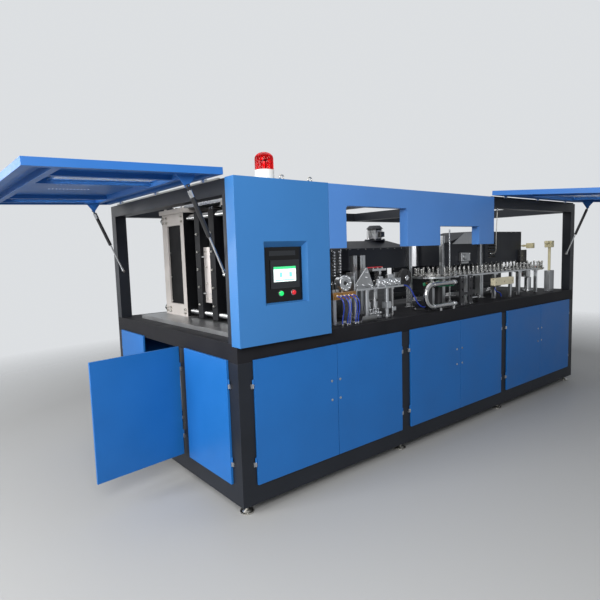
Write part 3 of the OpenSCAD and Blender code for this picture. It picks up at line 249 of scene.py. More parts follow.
def free_cord(name, route, steps, radius, finish, node):
    """A cord on its route from fitting to fitting, which may stand for a cord node of the model."""
    path = bend(route, steps)
    cord = piece(name, [tube(path, radius)], finish)
    if node:
        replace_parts(cord, node)


hose_blue = surface("hose_blue", (24, 58, 168), 0.28, shade=0.05, grain=120, depth=0.00005,
                    coat=0.3)
cable_grey = surface("cable_grey", (205, 203, 196), 0.45, shade=0.04, grain=160)
free_cord("air_hose_left", LEFT_HOSE, 40, 5, hose_blue, "air_hoses")
free_cord("air_hose_right", RIGHT_HOSE, 40, 5, hose_blue, "air_hoses")
free_cord("sensor_cable", SENSOR_CABLE, 40, 4, cable_grey, "signal_cable")
for number, (x, drift, belly) in enumerate(HOSE_DROPS):
    drop = [[x, 86, MOUTH_Z], [x, belly, MOUTH_Z], [x + drift, belly, 1215],
            [x + drift, TABLE_MOUTH_Y, 1190], [x + drift, TABLE_MOUTH_Y, TABLE_TOP + 14]]
    free_cord(f"manifold_hose_{number + 1}", drop, 24, 4, hose_blue, None)


# Floor and light
# A pale studio floor that fades into a pale backdrop, a large soft key lamp to the left front, a
# second one at the left end, a third above the open roof, and a fourth far to the rear left that
# gleams on the end faces. The right end falls into shade.
FLOOR_HALF = 40
FLOOR_MIDDLE = (-1.57, -1.0, 0)     # metres that bring the machine's middle to the pattern's
FLOOR_FADE = (3, 6.5)
UP = (0, 0, 1)


def floor_finish():
    """Pale matt floor, clear beyond an oval ring of 3 to 6.5 m round the machine's middle, which is
    1.4 times as long in X."""
    made, nodes, shader = new_finish("floor")
    set_inputs(shader, {"Base Color": (0.35, 0.35, 0.345, 1), "Roughness": 0.6})
    place = add_node(nodes, "TexCoord")
    centred = add_node(nodes, "Mapping", {"Location": FLOOR_MIDDLE, "Scale": (0.714, 1, 1)})
    reach = add_node(nodes, "VectorMath", operation="LENGTH")
    fade = add_node(nodes, "MapRange", {"From Min": FLOOR_FADE[0], "From Max": FLOOR_FADE[1],
                                        "To Min": 1, "To Max": 0})
    wire(place, "Object", centred, "Vector")
    wire(centred, "Vector", reach, 0)
    wire(reach, "Value", fade, "Value")
    wire(fade, "Result", shader, "Alpha")
    return made


floor_mesh = bpy.data.meshes.new("floor")
floor_mesh.from_pydata([(FLOOR_HALF * x, FLOOR_HALF * y, 0)
                        for x, y in ((-1, -1), (1, -1), (1, 1), (-1, 1))], [], [(0, 1, 2, 3)])
floor_mesh.materials.append(floor_finish())
floor = bpy.data.objects.new("floor", floor_mesh)
scene.collection.objects.link(floor)


def lamp(name, place, target, size, watts):
    """Square area lamp at a place in millimetres, facing a target."""
    data = bpy.data.lights.new(name, "AREA")
    data.size = size
    data.energy = watts
    back = row(place) - row(target)
    back /= np.linalg.norm(back)
    side = np.cross(UP, back)
    side /= np.linalg.norm(side)
    axes = np.stack([side, np.cross(back, side), back], axis=1)
    stand(bpy.data.objects.new(name, data), axes, place)


lamp("key", (-2300, -3300, 3300), (900, 0, 1000), 2.6, 245)
lamp("end", (-4300, 700, 2700), (0, 1000, 1100), 2.4, 240)
lamp("roof", (1500, 1300, 5000), (1900, 1000, 1000), 6.0, 135)
lamp("far", (-3600, 6100, 2300), (0, 60, 1500), 2.6, 80)

MIRRORED_SHARE = 0.42       # how much of the backdrop shows in glossy surfaces
world = bpy.data.worlds.new("world")
world.use_nodes = True
world_nodes = world.node_tree.nodes
lit = world_nodes["Background"]
set_inputs(lit, {"Color": (0.80, 0.84, 0.90, 1), "Strength": 0.30})
backdrop = add_node(world_nodes, "Background", {"Color": (0.72, 0.74, 0.76, 1)})
ray = add_node(world_nodes, "LightPath")
seen = add_node(world_nodes, "Math", operation="MAXIMUM")
mirrored = add_node(world_nodes, "Math", operation="MULTIPLY")
mirrored.inputs[1].default_value = MIRRORED_SHARE
seen_through = add_node(world_nodes, "Math", operation="MAXIMUM")
pick = add_node(world_nodes, "MixShader")
for link in ((ray, "Is Camera Ray", seen, 0), (ray, "Is Transmission Ray", seen, 1),
             (ray, "Is Glossy Ray", mirrored, 0), (seen, "Value", seen_through, 0),
             (mirrored, "Value", seen_through, 1), (seen_through, "Value", pick, "Fac"),
             (lit, "Background", pick, 1), (backdrop, "Background", pick, 2),
             (pick, "Shader", world_nodes["World Output"], "Surface")):
    wire(*link)
scene.world = world


# Base, table and feet
# Welded square tube, powder-coated near-black, under a sheet-steel table. Each foot is a
# zinc-plated pad with a threaded stem and a lock nut under the post.
def dress(finish, *names):
    """Gives CAD nodes a finish, in the place of the plain one that they came with."""
    for name in names:
        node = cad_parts[name]
        node.data.materials.clear()
        node.data.materials.append(finish)


frame_black = surface("frame_black", (30, 33, 39), 0.42, shade=0.14, grain=420, depth=0.00012,
                      wear_and_highlight=(74, 77, 84), shine=0.25)
table_black = surface("frame_black", (30, 30, 33), 0.58, shade=0.20, patch=5, grain=300,
                      depth=0.0002, wear_and_highlight=(74, 75, 78), shine=0.10)
zinc_steel = surface("zinc_steel", (188, 186, 180), 0.30, metal=1.0, shade=0.10, patch=9,
                     grain=340)
dress(frame_black, "base_frame")
dress(table_black, "table_frame")
dress(zinc_steel, "levelling_feet")


# Doors and covers
# Folded sheet trays, powder-coated blue, that lap on the frame. Each front leaf has two
# quarter-turn locks near its free edge, and all leaves have a hat section welded on inside.
FRONT_LEAF_X = (109, 814.7, 1627.3, 2333, 3145.7, 3851.3)
LEAF_W = 699.7
LEAF_FACE = -16         # outside of a leaf; its sheet's inside lies at LEAF_BACK
LEAF_BACK = -14.1
LOCK_Z = (602, 738)
FRONT, LEFT, RIGHT, DOWN = (0, -1, 0), (-1, 0, 0), (1, 0, 0), (0, 0, -1)


def turned(profile, centre, axis=UP, sides=28):
    """Lathe surface: for each (radius, height) of the profile, a circle so high along the axis."""
    radius, height = np.asarray(profile, float).T[:, :, None, None]
    along = np.asarray(axis, float) / np.linalg.norm(axis)
    across = crossways(along)
    angle = np.linspace(0, 2 * math.pi, sides, endpoint=False)[:, None]
    circle = np.cos(angle) * across + np.sin(angle) * np.cross(along, across)
    return skin(np.asarray(centre, float) + height * along + radius * circle)


def prism(outline, low, high, axis=2, edge=0.0):
    """Closed outline in the plane square to an axis, carried from low to high; both rims are cut
    back by edge along the outline's mitred normals."""
    flat = np.asarray(outline, float)
    ahead = np.roll(flat, -1, 0) - flat
    if (flat[:, 0] * ahead[:, 1] - flat[:, 1] * ahead[:, 0]).sum() < 0:
        flat = flat[::-1]
        ahead = np.roll(flat, -1, 0) - flat
    outward = np.stack([ahead[:, 1], -ahead[:, 0]], axis=1) / np.linalg.norm(ahead, axis=1)[:, None]
    before = np.roll(outward, 1, 0)
    corner = (outward + before) / (1 + (outward * before).sum(1))[:, None]
    level = np.array([low, low + edge, high - edge, high] if edge else [low, high], float)
    inset = np.array([edge, 0, 0, edge] if edge else [0, 0], float)
    rings = np.empty((len(level), len(flat), 3))
    rings[:, :, [a for a in range(3) if a != axis]] = flat - inset[:, None, None] * corner
    rings[:, :, axis] = level[:, None]
    return skin(rings[:, ::-1] if axis == 1 else rings)


def block(low, high, edge):
    """Block between two corners, all its edges cut back: a chamfered rectangle carried upwards."""
    (x0, y0, z0), (x1, y1, z1) = low, high
    outline = [(x0 + edge, y0), (x1 - edge, y0), (x1, y0 + edge), (x1, y1 - edge),
               (x1 - edge, y1), (x0 + edge, y1), (x0, y1 - edge), (x0, y0 + edge)]
    return prism(outline, z0, z1, 2, edge)


def hat_section(middle, back, wide=34, high=8, thick=1.2):
    """Outline of a folded hat section, its flanges on the sheet at back, its crown towards +Y."""
    w, t = wide / 2, thick
    profile = [(-w - 14, 0), (-w, 0), (-w + 2, high - t), (w - 2, high - t), (w, 0), (w + 14, 0),
               (w + 14, t), (w + t, t), (w - 2 + t, high), (-w + 2 - t, high), (-w - t, t),
               (-w - 14, t)]
    return [(middle + x, back + y) for x, y in profile]


door_blue = surface("door_blue", (26, 98, 168), 0.44, shade=0.05, grain=380,
                    wear_and_highlight=(92, 150, 220), shine=0.35)
dress(door_blue, "side_panels", "front_door_1", "front_door_2", "front_door_3", "front_door_4",
      "front_door_5", "front_door_6", "end_door_front", "end_door_open", "end_door_rear")
rosette = [(9, 0), (9, 1.2), (7.5, 2.2), (5, 2.2), (5, 1.2), (1, 1.2)]
for leaf, left in enumerate(FRONT_LEAF_X):
    lock_x = left + LEAF_W - 54 if leaf % 2 == 0 else left + 20
    locks = [turned(rosette, (lock_x, LEAF_FACE, z), FRONT) for z in LOCK_Z]
    piece(f"door_locks_{leaf + 1}", locks, zinc_steel, f"front_door_{leaf + 1}")
    stiffener = prism(hat_section(left + LEAF_W / 2, LEAF_BACK), 215, 965)
    piece(f"door_stiffener_{leaf + 1}", [stiffener], door_blue, f"front_door_{leaf + 1}")


# Hinges
# Lift-off hinges of bright zinc-plated steel on every leaf, and three-knuckle hinges on the flaps.
hinge_steel = surface("hinge_steel", (176, 178, 182), 0.30, metal=1.0, shade=0.08, patch=14,
                      grain=300)
dress(hinge_steel, "hinges")


# Upper frame
# The same near-black square tube. A pale foam strip lies on the left end rail under the flap, and a
# black rubber one on the front rail.
dress(frame_black, "upper_frame")
foam = surface("cable_grey", (206, 204, 194), 0.8, shade=0.06, patch=30, grain=700,
               depth=0.0004, shine=0.2)
RAIL_TOP = 2100.2       # top of the upper rails, with a hair's gap
HINGE_Z = 2112
piece("flap_seal", [block((1.5, 142, RAIL_TOP), (22, 1900, HINGE_Z), 1)], foam)
piece("front_flap_seal", [block((2862, 1.5, RAIL_TOP), (4640, 20, HINGE_Z), 1)],
      surface("frame_black", (20, 21, 24), 0.75, shade=0.06, patch=30, grain=600, shine=0.15))


# Flaps
# Two gullwing flaps of folded sheet on a tube frame. Their windows of clear polycarbonate are held
# from inside by flat bars with pan-head screws.
END_TILT = math.radians(1.8)
FRONT_TILT = math.radians(4.6)
HINGE_OUT = 5           # distance of a flap's hinge line inside the frame's face
END_HINGE_START = 2060
FRONT_HINGE_START = 2850
PANE_FACE = 43.9        # inner face of a flap's sheet in the flap's own frame


def tipped(points, tilt):
    """A flap's own points (X along the hinge, flap towards -Y), tipped about the hinge: X as it
    was, the level distance from the hinge, and the height over the floor."""
    x, y, z = np.asarray(points, float).T
    c, s = math.cos(tilt), math.sin(tilt)
    return x, y * c - z * s, HINGE_Z + y * s + z * c


def end_flap_place(points):
    """From the end flap's own frame to its raised place."""
    x, level, height = tipped(points, END_TILT)
    return np.stack([HINGE_OUT + level, END_HINGE_START - x, height], axis=1)


def front_flap_place(points):
    """From the front flap's own frame to its raised place."""
    x, level, height = tipped(points, FRONT_TILT)
    return np.stack([FRONT_HINGE_START + x, HINGE_OUT + level, height], axis=1)


def pane_bars(x, y, wide, deep):
    """Four flat bars under the rim of a flap's window, and a pan-head screw every 150 mm or so."""
    out, lap, low = 14, 6, PANE_FACE - 3
    bars = [block((x - out, y + a, low), (x + wide + out, y + b, PANE_FACE), 0.6)
            for a, b in ((-out, lap), (deep - lap, deep + out))]
    bars += [block((x + a, y + lap, low), (x + b, y + deep - lap, PANE_FACE), 0.6)
             for a, b in ((-out, lap), (wide - lap, wide + out))]
    head = [(4, 0), (4, 0.8), (3, 2), (1.2, 2.4), (0.4, 2.4)]
    across = np.linspace(x, x + wide, max(round(wide / 150), 2) + 1)
    along = np.linspace(y + 30, y + deep - 30, max(round(deep / 150), 2) + 1)
    spots = [(a, b) for a in across for b in (y - lap, y + deep + lap)]
    spots += [(a, b) for a in (x - lap, x + wide + lap) for b in along]
    return bars, [turned(head, (a, b, low), DOWN, 12) for a, b in spots]


def moved(parts, place):
    """The parts with every point carried by a placing function."""
    return [(place(points), faces) for points, faces in parts]


def clear_pane(slot, tone, rough):
    """Clear plastic: light passes through it, and a soft noise clouds its surface a little."""
    made, nodes, shader = new_finish(slot)
    set_inputs(shader, {"Base Color": tone, "IOR": 1.2, "Transmission Weight": 1.0})
    place = add_node(nodes, "TexCoord")
    haze = add_node(nodes, "TexNoise", {"Scale": 6})
    veil = add_node(nodes, "MapRange", {"To Min": rough, "To Max": rough + 0.12})
    wire(place, "Object", haze, "Vector")
    wire(haze, "Fac", veil, "Value")
    wire(veil, "Result", shader, "Roughness")
    return made


flap_blue = surface("flap_blue", (42, 104, 176), 0.42, shade=0.06, grain=380,
                    wear_and_highlight=(100, 158, 228), shine=0.35)
dress(flap_blue, "end_flap", "front_flap")
dress(clear_pane("pane_clear", (0.93, 0.95, 0.96, 1), 0.08), "end_flap_panes", "front_flap_panes")
for flap_name, windows, flap_place in (
        ("end_flap", ((1300, -800, 300, 630), (110, -800, 250, 630)), end_flap_place),
        ("front_flap", ((500, -800, 900, 630),), front_flap_place)):
    for number, window in enumerate(windows):
        bars, heads = pane_bars(*window)
        piece(f"{flap_name}_pane_bars_{number + 1}", moved(bars, flap_place), flap_blue, flap_name)
        piece(f"{flap_name}_pane_screws_{number + 1}", moved(heads, flap_place), zinc_steel,
              flap_name)


# Gas struts
# Black painted tubes with chromed rods, on ball studs at the posts and pins at the flaps.
strut_black = surface("strut_black", (26, 26, 28), 0.30, shade=0.10, patch=12, coat=0.4)
rod_chrome = surface("rod_chrome", (215, 216, 218), 0.12, metal=1.0, shade=0.04, patch=20,
                     depth=0.00003)
dress(strut_black, "end_strut_tubes", "front_strut_tube")
dress(rod_chrome, "end_strut_rods", "front_strut_rod")
STRUT_LINE = np.array([223.2, 0, -528.6]) / math.hypot(223.2, 528.6)
sleeve = [(14.2, 0), (15.6, 1), (15.6, 44), (14.2, 45)]
piece("strut_sleeves", [turned(sleeve, np.array([-198.2, y, 2050.6]) + 26 * STRUT_LINE, STRUT_LINE)
                        for y in (140, 1920)], rod_chrome, "end_strut_tubes")


# Control cabinet and operator panel
# A proud powder-coated sheet box. A sloped recess holds a gloss black acrylic panel with a touch
# screen and two lit push buttons in chromed bezels; the strip above the screen is bare.
cabinet_blue = surface("cabinet_blue", (54, 114, 174), 0.38, shade=0.04, patch=1.6, grain=380,
                       wear_and_highlight=(108, 170, 232), shine=0.35)
panel_black = surface("panel_black", (9, 9, 11), 0.16, shade=0.10, grain=80, depth=0.00002,
                      coat=0.15, shine=0.3)
screen_bezel = surface("screen_bezel", (40, 42, 45), 0.40, shade=0.08, grain=500, shine=0.3)
dress(cabinet_blue, "control_cabinet")
dress(panel_black, "hmi_panel")
dress(screen_bezel, "touch_screen")
dress(surface("button_green", (20, 190, 90), 0.25, shade=0.03, glow=1.2), "start_button")
dress(surface("button_red", (200, 30, 38), 0.25, shade=0.03, glow=0.35), "stop_button")

SCREEN = (288, 1463, 466, 1559)     # left, bottom, right, top of the lit field
SCREEN_Y = -8.5
PANEL_Y = -3
BUTTON_Z = 1388
CABINET_TOP = 2103


def lit_field(tone, glow):
    """Backlit part of the touch screen."""
    return surface("screen_bezel", tone, 0.25, shade=0.02, depth=0.00001, glow=glow)


def tile(x0, z0, x1, z1, raise_by):
    """Flat field of the screen's picture, raised some tenths of a millimetre before the glass."""
    return block((x0, SCREEN_Y - raise_by, z0), (x1, SCREEN_Y, z1), 0.05)


screen_mint = lit_field((120, 225, 195), 0.8)
piece("screen_field", [tile(*SCREEN, 0.3)], lit_field((226, 244, 240), 0.9))
piece("screen_header", [tile(SCREEN[0], SCREEN[3] - 16, SCREEN[2], SCREEN[3], 0.5)],
      lit_field((60, 190, 120), 0.8))
piece("screen_widgets", [tile(334, 1492, 356, 1522, 0.5), tile(412, 1492, 434, 1522, 0.5),
                         tile(300, 1470, 454, 1476, 0.5)], screen_mint)
piece("panel_strip", [block((262, PANEL_Y - 1.2, 1628), (470, PANEL_Y, 1660), 0.4)], screen_bezel)
bezel = [(18.5, 0), (18.5, 2.4), (16.5, 3.6), (16, 3.6), (16, 0)]
piece("button_bezels", [turned(bezel, (x, PANEL_Y, BUTTON_Z), FRONT, 40) for x in (343, 444)],
      rod_chrome)


def eye_bolt(x, y, z):
    """Lifting eye: a collar and a ring on it, which is a tube round a circle in the XZ plane."""
    turn = np.linspace(0.02, 2 * math.pi - 0.02, 33)
    ring = np.stack([x + 15 * np.sin(turn), y + 0 * turn, z + 24 - 15 * np.cos(turn)], axis=1)
    return [turned([(16, 0), (16, 5), (9, 9), (7, 12)], (x, y, z)), tube(ring, 4.5, 12)]


piece("lifting_eyes", eye_bolt(405, 30, CABINET_TOP) + eye_bolt(640, 30, CABINET_TOP), zinc_steel)


# Beacon
# A rotating beacon: white base, ribbed red lens, and inside it a chromed reflector on a column.
BEACON = (322, 100)
BEACON_Z = 2165
dress(surface("beacon_white", (226, 224, 216), 0.40, shade=0.03, grain=200), "beacon_base")


def ribbed_lens(centre, radius, height, ribs, crest):
    """Lens over angle a and height h: the radius is the dome's at h, and it swells by crest times
    the absolute sine of half of ribs times a. The inner skin lies 3 mm inside."""
    crown = 0.66 + 0.34 * np.sin(np.linspace(0.15, 1, 9) * math.pi / 2)
    rise = np.concatenate([[0, 0.01, 0.35, 0.66], crown])
    dome = np.where(rise <= 0.66, 1.0, np.sqrt(np.maximum(1 - ((rise - 0.66) / 0.34) ** 2, 0.0009)))
    angle = np.linspace(0, 2 * math.pi, ribs * 6, endpoint=False)
    swell = 1 + crest * np.abs(np.sin(ribs * angle / 2)) - crest
    reach = (radius * dome)[:, None] * swell[None]
    outer = np.stack([centre[0] + reach * np.cos(angle), centre[1] + reach * np.sin(angle),
                      centre[2] + height * rise[:, None] + 0 * angle], axis=-1)
    inner = outer[::-1].copy()
    inner[..., :2] = centre[:2] + (inner[..., :2] - centre[:2]) * (1 - 3 / radius)
    inner[..., 2] = np.maximum(inner[..., 2] - 3, centre[2])
    return skin(np.concatenate([outer, inner]))


lens_red = clear_pane("beacon_red", (0.80, 0.02, 0.03, 1), 0.05)
lens = piece("beacon_lens", [ribbed_lens((*BEACON, BEACON_Z), 60, 122, 28, 0.05)], lens_red)
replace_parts(lens, "beacon_dome")
reflector = [(20, 0), (20, 12), (9, 16), (9, 62), (24, 70), (26, 84), (8, 90)]
piece("beacon_reflector", [turned(reflector, (*BEACON, BEACON_Z + 1))], rod_chrome)


# Fascia
# One folded sheet between the cabinet and the front flap, with two windows and three legs.
dress(surface("cabinet_blue", (76, 128, 196), 0.38, shade=0.05, patch=1.6, grain=380,
              wear_and_highlight=(118, 168, 232), shine=0.4), "front_fascia")


# Clamp unit
# Two grey castings carry the tie bars. Black sheets in their windows are painted shade that stands
# for the dark openings, and two more black sheets darken the castings' inner faces. Between them
# dark platens with aluminium mould halves open sideways, under a bridge with the blow nozzles, the
# stretch rods and a row of blow valves. Socket screws hold the rest.
grey_casting = surface("grey_casting", (174, 168, 163), 0.50, shade=0.10, patch=5, grain=150,
                       depth=0.0005, edge=0.004, wear_and_highlight=(184, 180, 176))
dark_casting = surface("dark_casting", (18, 18, 21), 0.50, shade=0.12, patch=5, grain=180,
                       depth=0.0004, edge=0.003, wear_and_highlight=(60, 61, 65), shine=0.15)
dark_sheet_black = surface("strut_black", (12, 12, 14), 0.60, shade=0.10, patch=6, grain=300, shine=0.12)
mould_aluminium = surface("mould_aluminium", (196, 189, 185), 0.34, metal=0.4, shade=0.05,
                          stretch=(1, 1, 6), patch=4, grain=90, depth=0.00002)
polished_steel = surface("polished_steel", (186, 186, 186), 0.18, metal=1.0, shade=0.05,
                         stretch=(1, 14, 1), patch=5, grain=90, depth=0.00004)
bed_aluminium = surface("bed_aluminium", (176, 177, 178), 0.34, metal=1.0, shade=0.08,
                        stretch=(16, 1, 1), patch=4, grain=80, depth=0.00008)
profile_aluminium = surface("profile_aluminium", (200, 202, 204), 0.30, metal=1.0, shade=0.06,
                            stretch=(1, 1, 0.08), patch=8, grain=160, depth=0.00006)
dress(grey_casting, "clamp_frame")
dress(dark_casting, "rear_platen", "front_platen")
dress(mould_aluminium, "rear_mould", "front_mould")
dress(polished_steel, "tie_bars", "stretch_rods", "base_mould")
dress(bed_aluminium, "bed_plate")
dress(profile_aluminium, "stretch_bridge")


def grid(*rows):
    """Every place whose x, y and z are in three rows of numbers; a bare number is a row of one."""
    return list(itertools.product(*map(np.atleast_1d, rows)))


def screws(places, axis, size):
    """Cap screws of a thread size: heads as high as the size and 1.5 times as wide, socketed."""
    r = 0.75 * size
    head = [(r, 0), (r, size - 1), (r - 1, size), (0.5 * size, size), (0.45 * size, 0.5 * size),
            (0.5, 0.5 * size)]
    return [turned(head, place, axis, 20) for place in places]


CAP_Z = 2035
BRIDGE_TOP = 2060
CASTING_LEFT = 320
PLATEN_LEFT = 330
MOULD_LEFT = 360
SLOT_SHEET_X = 334
MOULD_MIDDLE_Y = 953
SLOT_Y = ((402, 560), (1346, 1599))
cap_screws = screws(grid((340, 440, 760, 860), (330, 480, 590, 1315, 1480, 1660), CAP_Z), UP, 16)
side_screws = screws(grid(CASTING_LEFT, (342, 400, 590, 1315, 1600, 1670),
                          (1160, 1190, 1930, 1970)), LEFT, 14)
piece("clamp_screws", cap_screws + side_screws, zinc_steel)
tail_profile = [(8, 0), (8, 10), (6, 12), (6, 24), (4, 26)]
for side, name in ((-1, "front"), (1, "rear")):
    face = MOULD_MIDDLE_Y + side * 40
    cavity_bolts = screws(grid(MOULD_LEFT, face, (1300, 1420, 1550, 1670)), LEFT, 10)
    hose_tails = [turned(tail_profile, (MOULD_LEFT, face + side * 18, z), LEFT)
                  for z in (1340, 1630)]
    platen_bolts = screws(grid(PLATEN_LEFT, MOULD_MIDDLE_Y + side * 116, range(1250, 1811, 140)),
                          LEFT, 12)
    piece(f"mould_screws_{name}", cavity_bolts, zinc_steel, f"{name}_clamp")
    piece(f"mould_hose_tails_{name}", hose_tails, bed_aluminium, f"{name}_clamp")
    piece(f"platen_screws_{name}", platen_bolts, zinc_steel, f"{name}_clamp")
slot_sheet_screws = []
# Black sheets fill the castings' slots: painted shade for the dark openings, screwed along both
# edges.
for y0, y1 in SLOT_Y:
    piece(f"clamp_guard_{y0}", [block((SLOT_SHEET_X, y0, 1232), (SLOT_SHEET_X + 3, y1, 1898), 0.5)],
          dark_sheet_black)
    slot_sheet_screws += screws(grid(SLOT_SHEET_X, (y0 + 15, y1 - 15), (1250, 1460, 1670, 1880)), LEFT, 6)
piece("clamp_guard_screws", slot_sheet_screws, zinc_steel)
# Two black sheets over the castings' inner faces, which make these faces dark.
piece("clamp_inner_face_sheets", [block((322, 1283.2, 1132), (878, 1284.9, 1998), 0.5),
                       block((322, 621.1, 1132), (878, 622.8, 1998), 0.5)], dark_sheet_black)
valve = [(24, 0), (24, 12), (19, 14), (19, 24), (22, 25), (22, 30), (12, 31)]
piece("blow_valves", [turned(valve, place)
                      for place in grid((435, 545, 655, 765), (870, 1036), BRIDGE_TOP)], zinc_steel)
piece("blow_manifold", [block((410, 915, BRIDGE_TOP), (790, 990, BRIDGE_TOP + 30), 3)],
      bed_aluminium)


# Transfer station
# An anodised plate on four legs with a linear rail, the gripper carriage and its toothed pulley.
# Beside them stand air cylinders, flow controls, and a bronze manifold block that carries two
# solenoid valves and a flanged rotary actuator. Machined aluminium parts are screwed down.
PLATE_TOP = 1350
SEAT = TABLE_TOP + 1            # where what stands on the table starts
MANIFOLD_FRONT, MANIFOLD_TOP = 99.4, 1342.6
VALVE_X = (911, 945)
CYLINDER_X = (1372, 1450)
CONTROL_X = (1328, 1358, 1388, 1418)
ROTARY = (1034, 1405)
GRIPPER_X = 1525 + 44 * np.arange(-1.5, 2)
PULLEY = (1795, 180, 1399)


def hex_nut(place, axis, across):
    """Chamfered nut: a six-sided lathe surface, 0.8 times as high as it is wide."""
    r, h = across / math.sqrt(3), 0.8 * across
    return turned([(r * 0.88, 0), (r, 1), (r, h - 1), (r * 0.88, h)], place, axis, 6)


def fittings(places, axis, reach=15):
    """Push-in air fittings: a hexagon at the foot and a collar with a release ring at the mouth."""
    foot = [(8, 0), (8.8, 0.8), (8.8, 4.2), (8, 5)]
    mouth = [(6.6, 0), (6.6, reach - 6), (8.6, reach - 5.5), (8.6, reach - 2), (7, reach - 1),
             (6, reach)]
    return [turned(profile, place, axis, sides) for place in places
            for profile, sides in ((foot, 6), (mouth, 24))]


def collet(place, axis):
    """Release ring round the end of a hose."""
    return turned([(9, -6), (9, 3), (8, 4), (8, 6), (7, 7)], place, axis, 24)


def toothed(middle, teeth, low_r, high_r, shares):
    """Outline with teeth: each has corners low, high, high and low at given shares of the pitch."""
    angle = 2 * math.pi * (np.arange(teeth)[:, None] + shares).ravel() / teeth
    reach = np.tile([low_r, high_r, high_r, low_r], teeth)
    return np.stack([middle[0] + reach * np.cos(angle), middle[1] + reach * np.sin(angle)], axis=1)


zinc_bright = surface("zinc_steel", (205, 206, 208), 0.24, metal=1.0, shade=0.08, patch=16,
                      grain=260)
bronze = surface("nylon_cream", (186, 138, 82), 0.36, metal=1.0, shade=0.20, patch=22, grain=200)
pulley_black = surface("pulley_black", (30, 29, 30), 0.42, shade=0.08, patch=10, grain=300)
dress(profile_aluminium, "transfer_table")
dress(zinc_bright, "transfer_carriage")
dress(pulley_black, "drive_pulley")
cylinder_head = [(25, 0), (27, 1.5), (27, 19), (25, 21)]
lift_parts = []
for x in CYLINDER_X:
    lift_parts += [turned(cylinder_head, (x, 210, z), sides=32) for z in (SEAT, 1229.5)]
    lift_parts += [turned([(15, 0), (15, 4), (12.5, 5.5)], (x, 210, 1250.4)),
                   hex_nut((x, 210, 1310.5), UP, 30)]
piece("lift_cylinders", lift_parts, zinc_bright)
piece("lift_fittings", fittings(grid(CYLINDER_X, 184, (1111, 1240)), FRONT), strut_black)
piece("manifold_block", [block((891.4, MANIFOLD_FRONT, 1287.4),
                               (1128.6, 196.6, MANIFOLD_TOP), 2.5)], bronze)
manifold_mouths = fittings([(x, MANIFOLD_FRONT, MOUTH_Z) for x, _, _ in HOSE_DROPS], FRONT)
table_mouths = fittings([(x + drift, TABLE_MOUTH_Y, TABLE_TOP) for x, drift, _ in HOSE_DROPS], UP)
piece("manifold_fittings", manifold_mouths + table_mouths, zinc_bright)
piece("valve_bodies", [block((x - 14, 110, MANIFOLD_TOP), (x + 14, 186, 1364), 1.5)
                       for x in VALVE_X], bed_aluminium)
piece("valve_coils", [block((x - 11.5, 120, 1364), (x + 11.5, 150, 1402), 2) for x in VALVE_X]
      + [block((x - 8, 150, 1372), (x + 8, 172, 1392), 2) for x in VALVE_X], strut_black)
valve_nut = [(9, 0), (9, 3), (7, 4), (4, 4), (4, 9), (2, 10)]
piece("valve_nuts", [turned(valve_nut, (x, 135, 1402), sides=20) for x in VALVE_X], zinc_bright)
rotary_body = [(46, 0), (46, 58), (60, 60), (60, 78), (58, 80), (25, 80), (24, 70), (16, 70)]
piece("rotary_actuator", [turned(rotary_body, (ROTARY[0], 190, ROTARY[1]), FRONT, 48),
                          block((1000, 122, MANIFOLD_TOP), (1068, 186, 1364), 2),
                          block((1116, 106, MANIFOLD_TOP), (1126, 192, 1478), 1)],
      profile_aluminium)
piece("rotary_screws", screws([(ROTARY[0] + 50 * math.cos(a), 110, ROTARY[1] + 50 * math.sin(a))
                               for a in np.arange(8) * math.pi / 4], FRONT, 7), zinc_bright)
bore = [(15, 0), (15, 4), (12, 5), (6, 5), (6, 2)]
piece("rotary_bore", [turned(bore, (ROTARY[0], 120, ROTARY[1]), FRONT)], strut_black)
piece("plate_screws", screws(grid((1170, 1330, 1490, 1650), (128, 285), PLATE_TOP), UP, 8),
      zinc_bright)
gusset = [(1184, 1351), (1400, 1351), (1342, 1498), (1333, 1498)]
piece("plate_gusset_cover", [prism(gusset, 179.4, 180.9, 1),
                             block((1200, 150, PLATE_TOP + 0.4), (1404, 179, 1358), 1)],
      bed_aluminium)
gusset_spots = ((1225, 1372), (1290, 1372), (1360, 1372), (1330, 1430), (1337, 1470))
piece("gusset_screws", screws([(x, 179.4, z) for x, z in gusset_spots], FRONT, 8), zinc_bright)
piece("drive_housing", [block((1420, 136, PLATE_TOP + 0.4), (1696, 172, 1410), 3),
                        block((1436, 140, 1410), (1480, 168, 1430), 2),
                        block((1540, 140, 1410), (1612, 168, 1440), 2)], profile_aluminium)
boss = [(21, 0), (21, 5), (18, 7), (10, 7), (10, 2)]
piece("drive_bosses", [turned(boss, (x, 136, 1380), FRONT) for x in (1452, 1516, 1600, 1662)]
      + screws(grid((1484, 1558, 1631), 136, (1364, 1396)), FRONT, 7)
      + screws(grid((1552, 1600), 154, 1440), UP, 7), zinc_bright)
piece("guide_post", [turned([(11, 0), (11, 234)], (1598, 150, SEAT))]
      + [turned([(17, 0), (18, 1), (18, 13), (17, 14)], (1598, 150, z)) for z in (SEAT, 1320)],
      polished_steel)
piece("post_clamps", [block((1502, 122, 1168), (1558, 178, 1222), 3),
                      block((1574, 128, 1140), (1624, 172, 1176), 3)], profile_aluminium)
control = [(9, 0), (9, 14), (11.5, 16), (11.5, 30), (7, 32), (7, 46), (10.5, 48), (10.5, 58),
           (5, 60)]
piece("flow_controls", [turned(control, (x, 144, 1122), sides=20) for x in CONTROL_X]
      + fittings(grid(CONTROL_X, 124, 1146), FRONT)
      + [block((1312, 122, SEAT), (1436, 164, 1122), 2)], zinc_bright)
tray = [(36, SEAT), (112, SEAT), (112, 1104), (41, 1104), (24, 1154), (20.5, 1153)]
piece("drip_tray", [prism(tray, 1116, 1280, 0)], bed_aluminium)
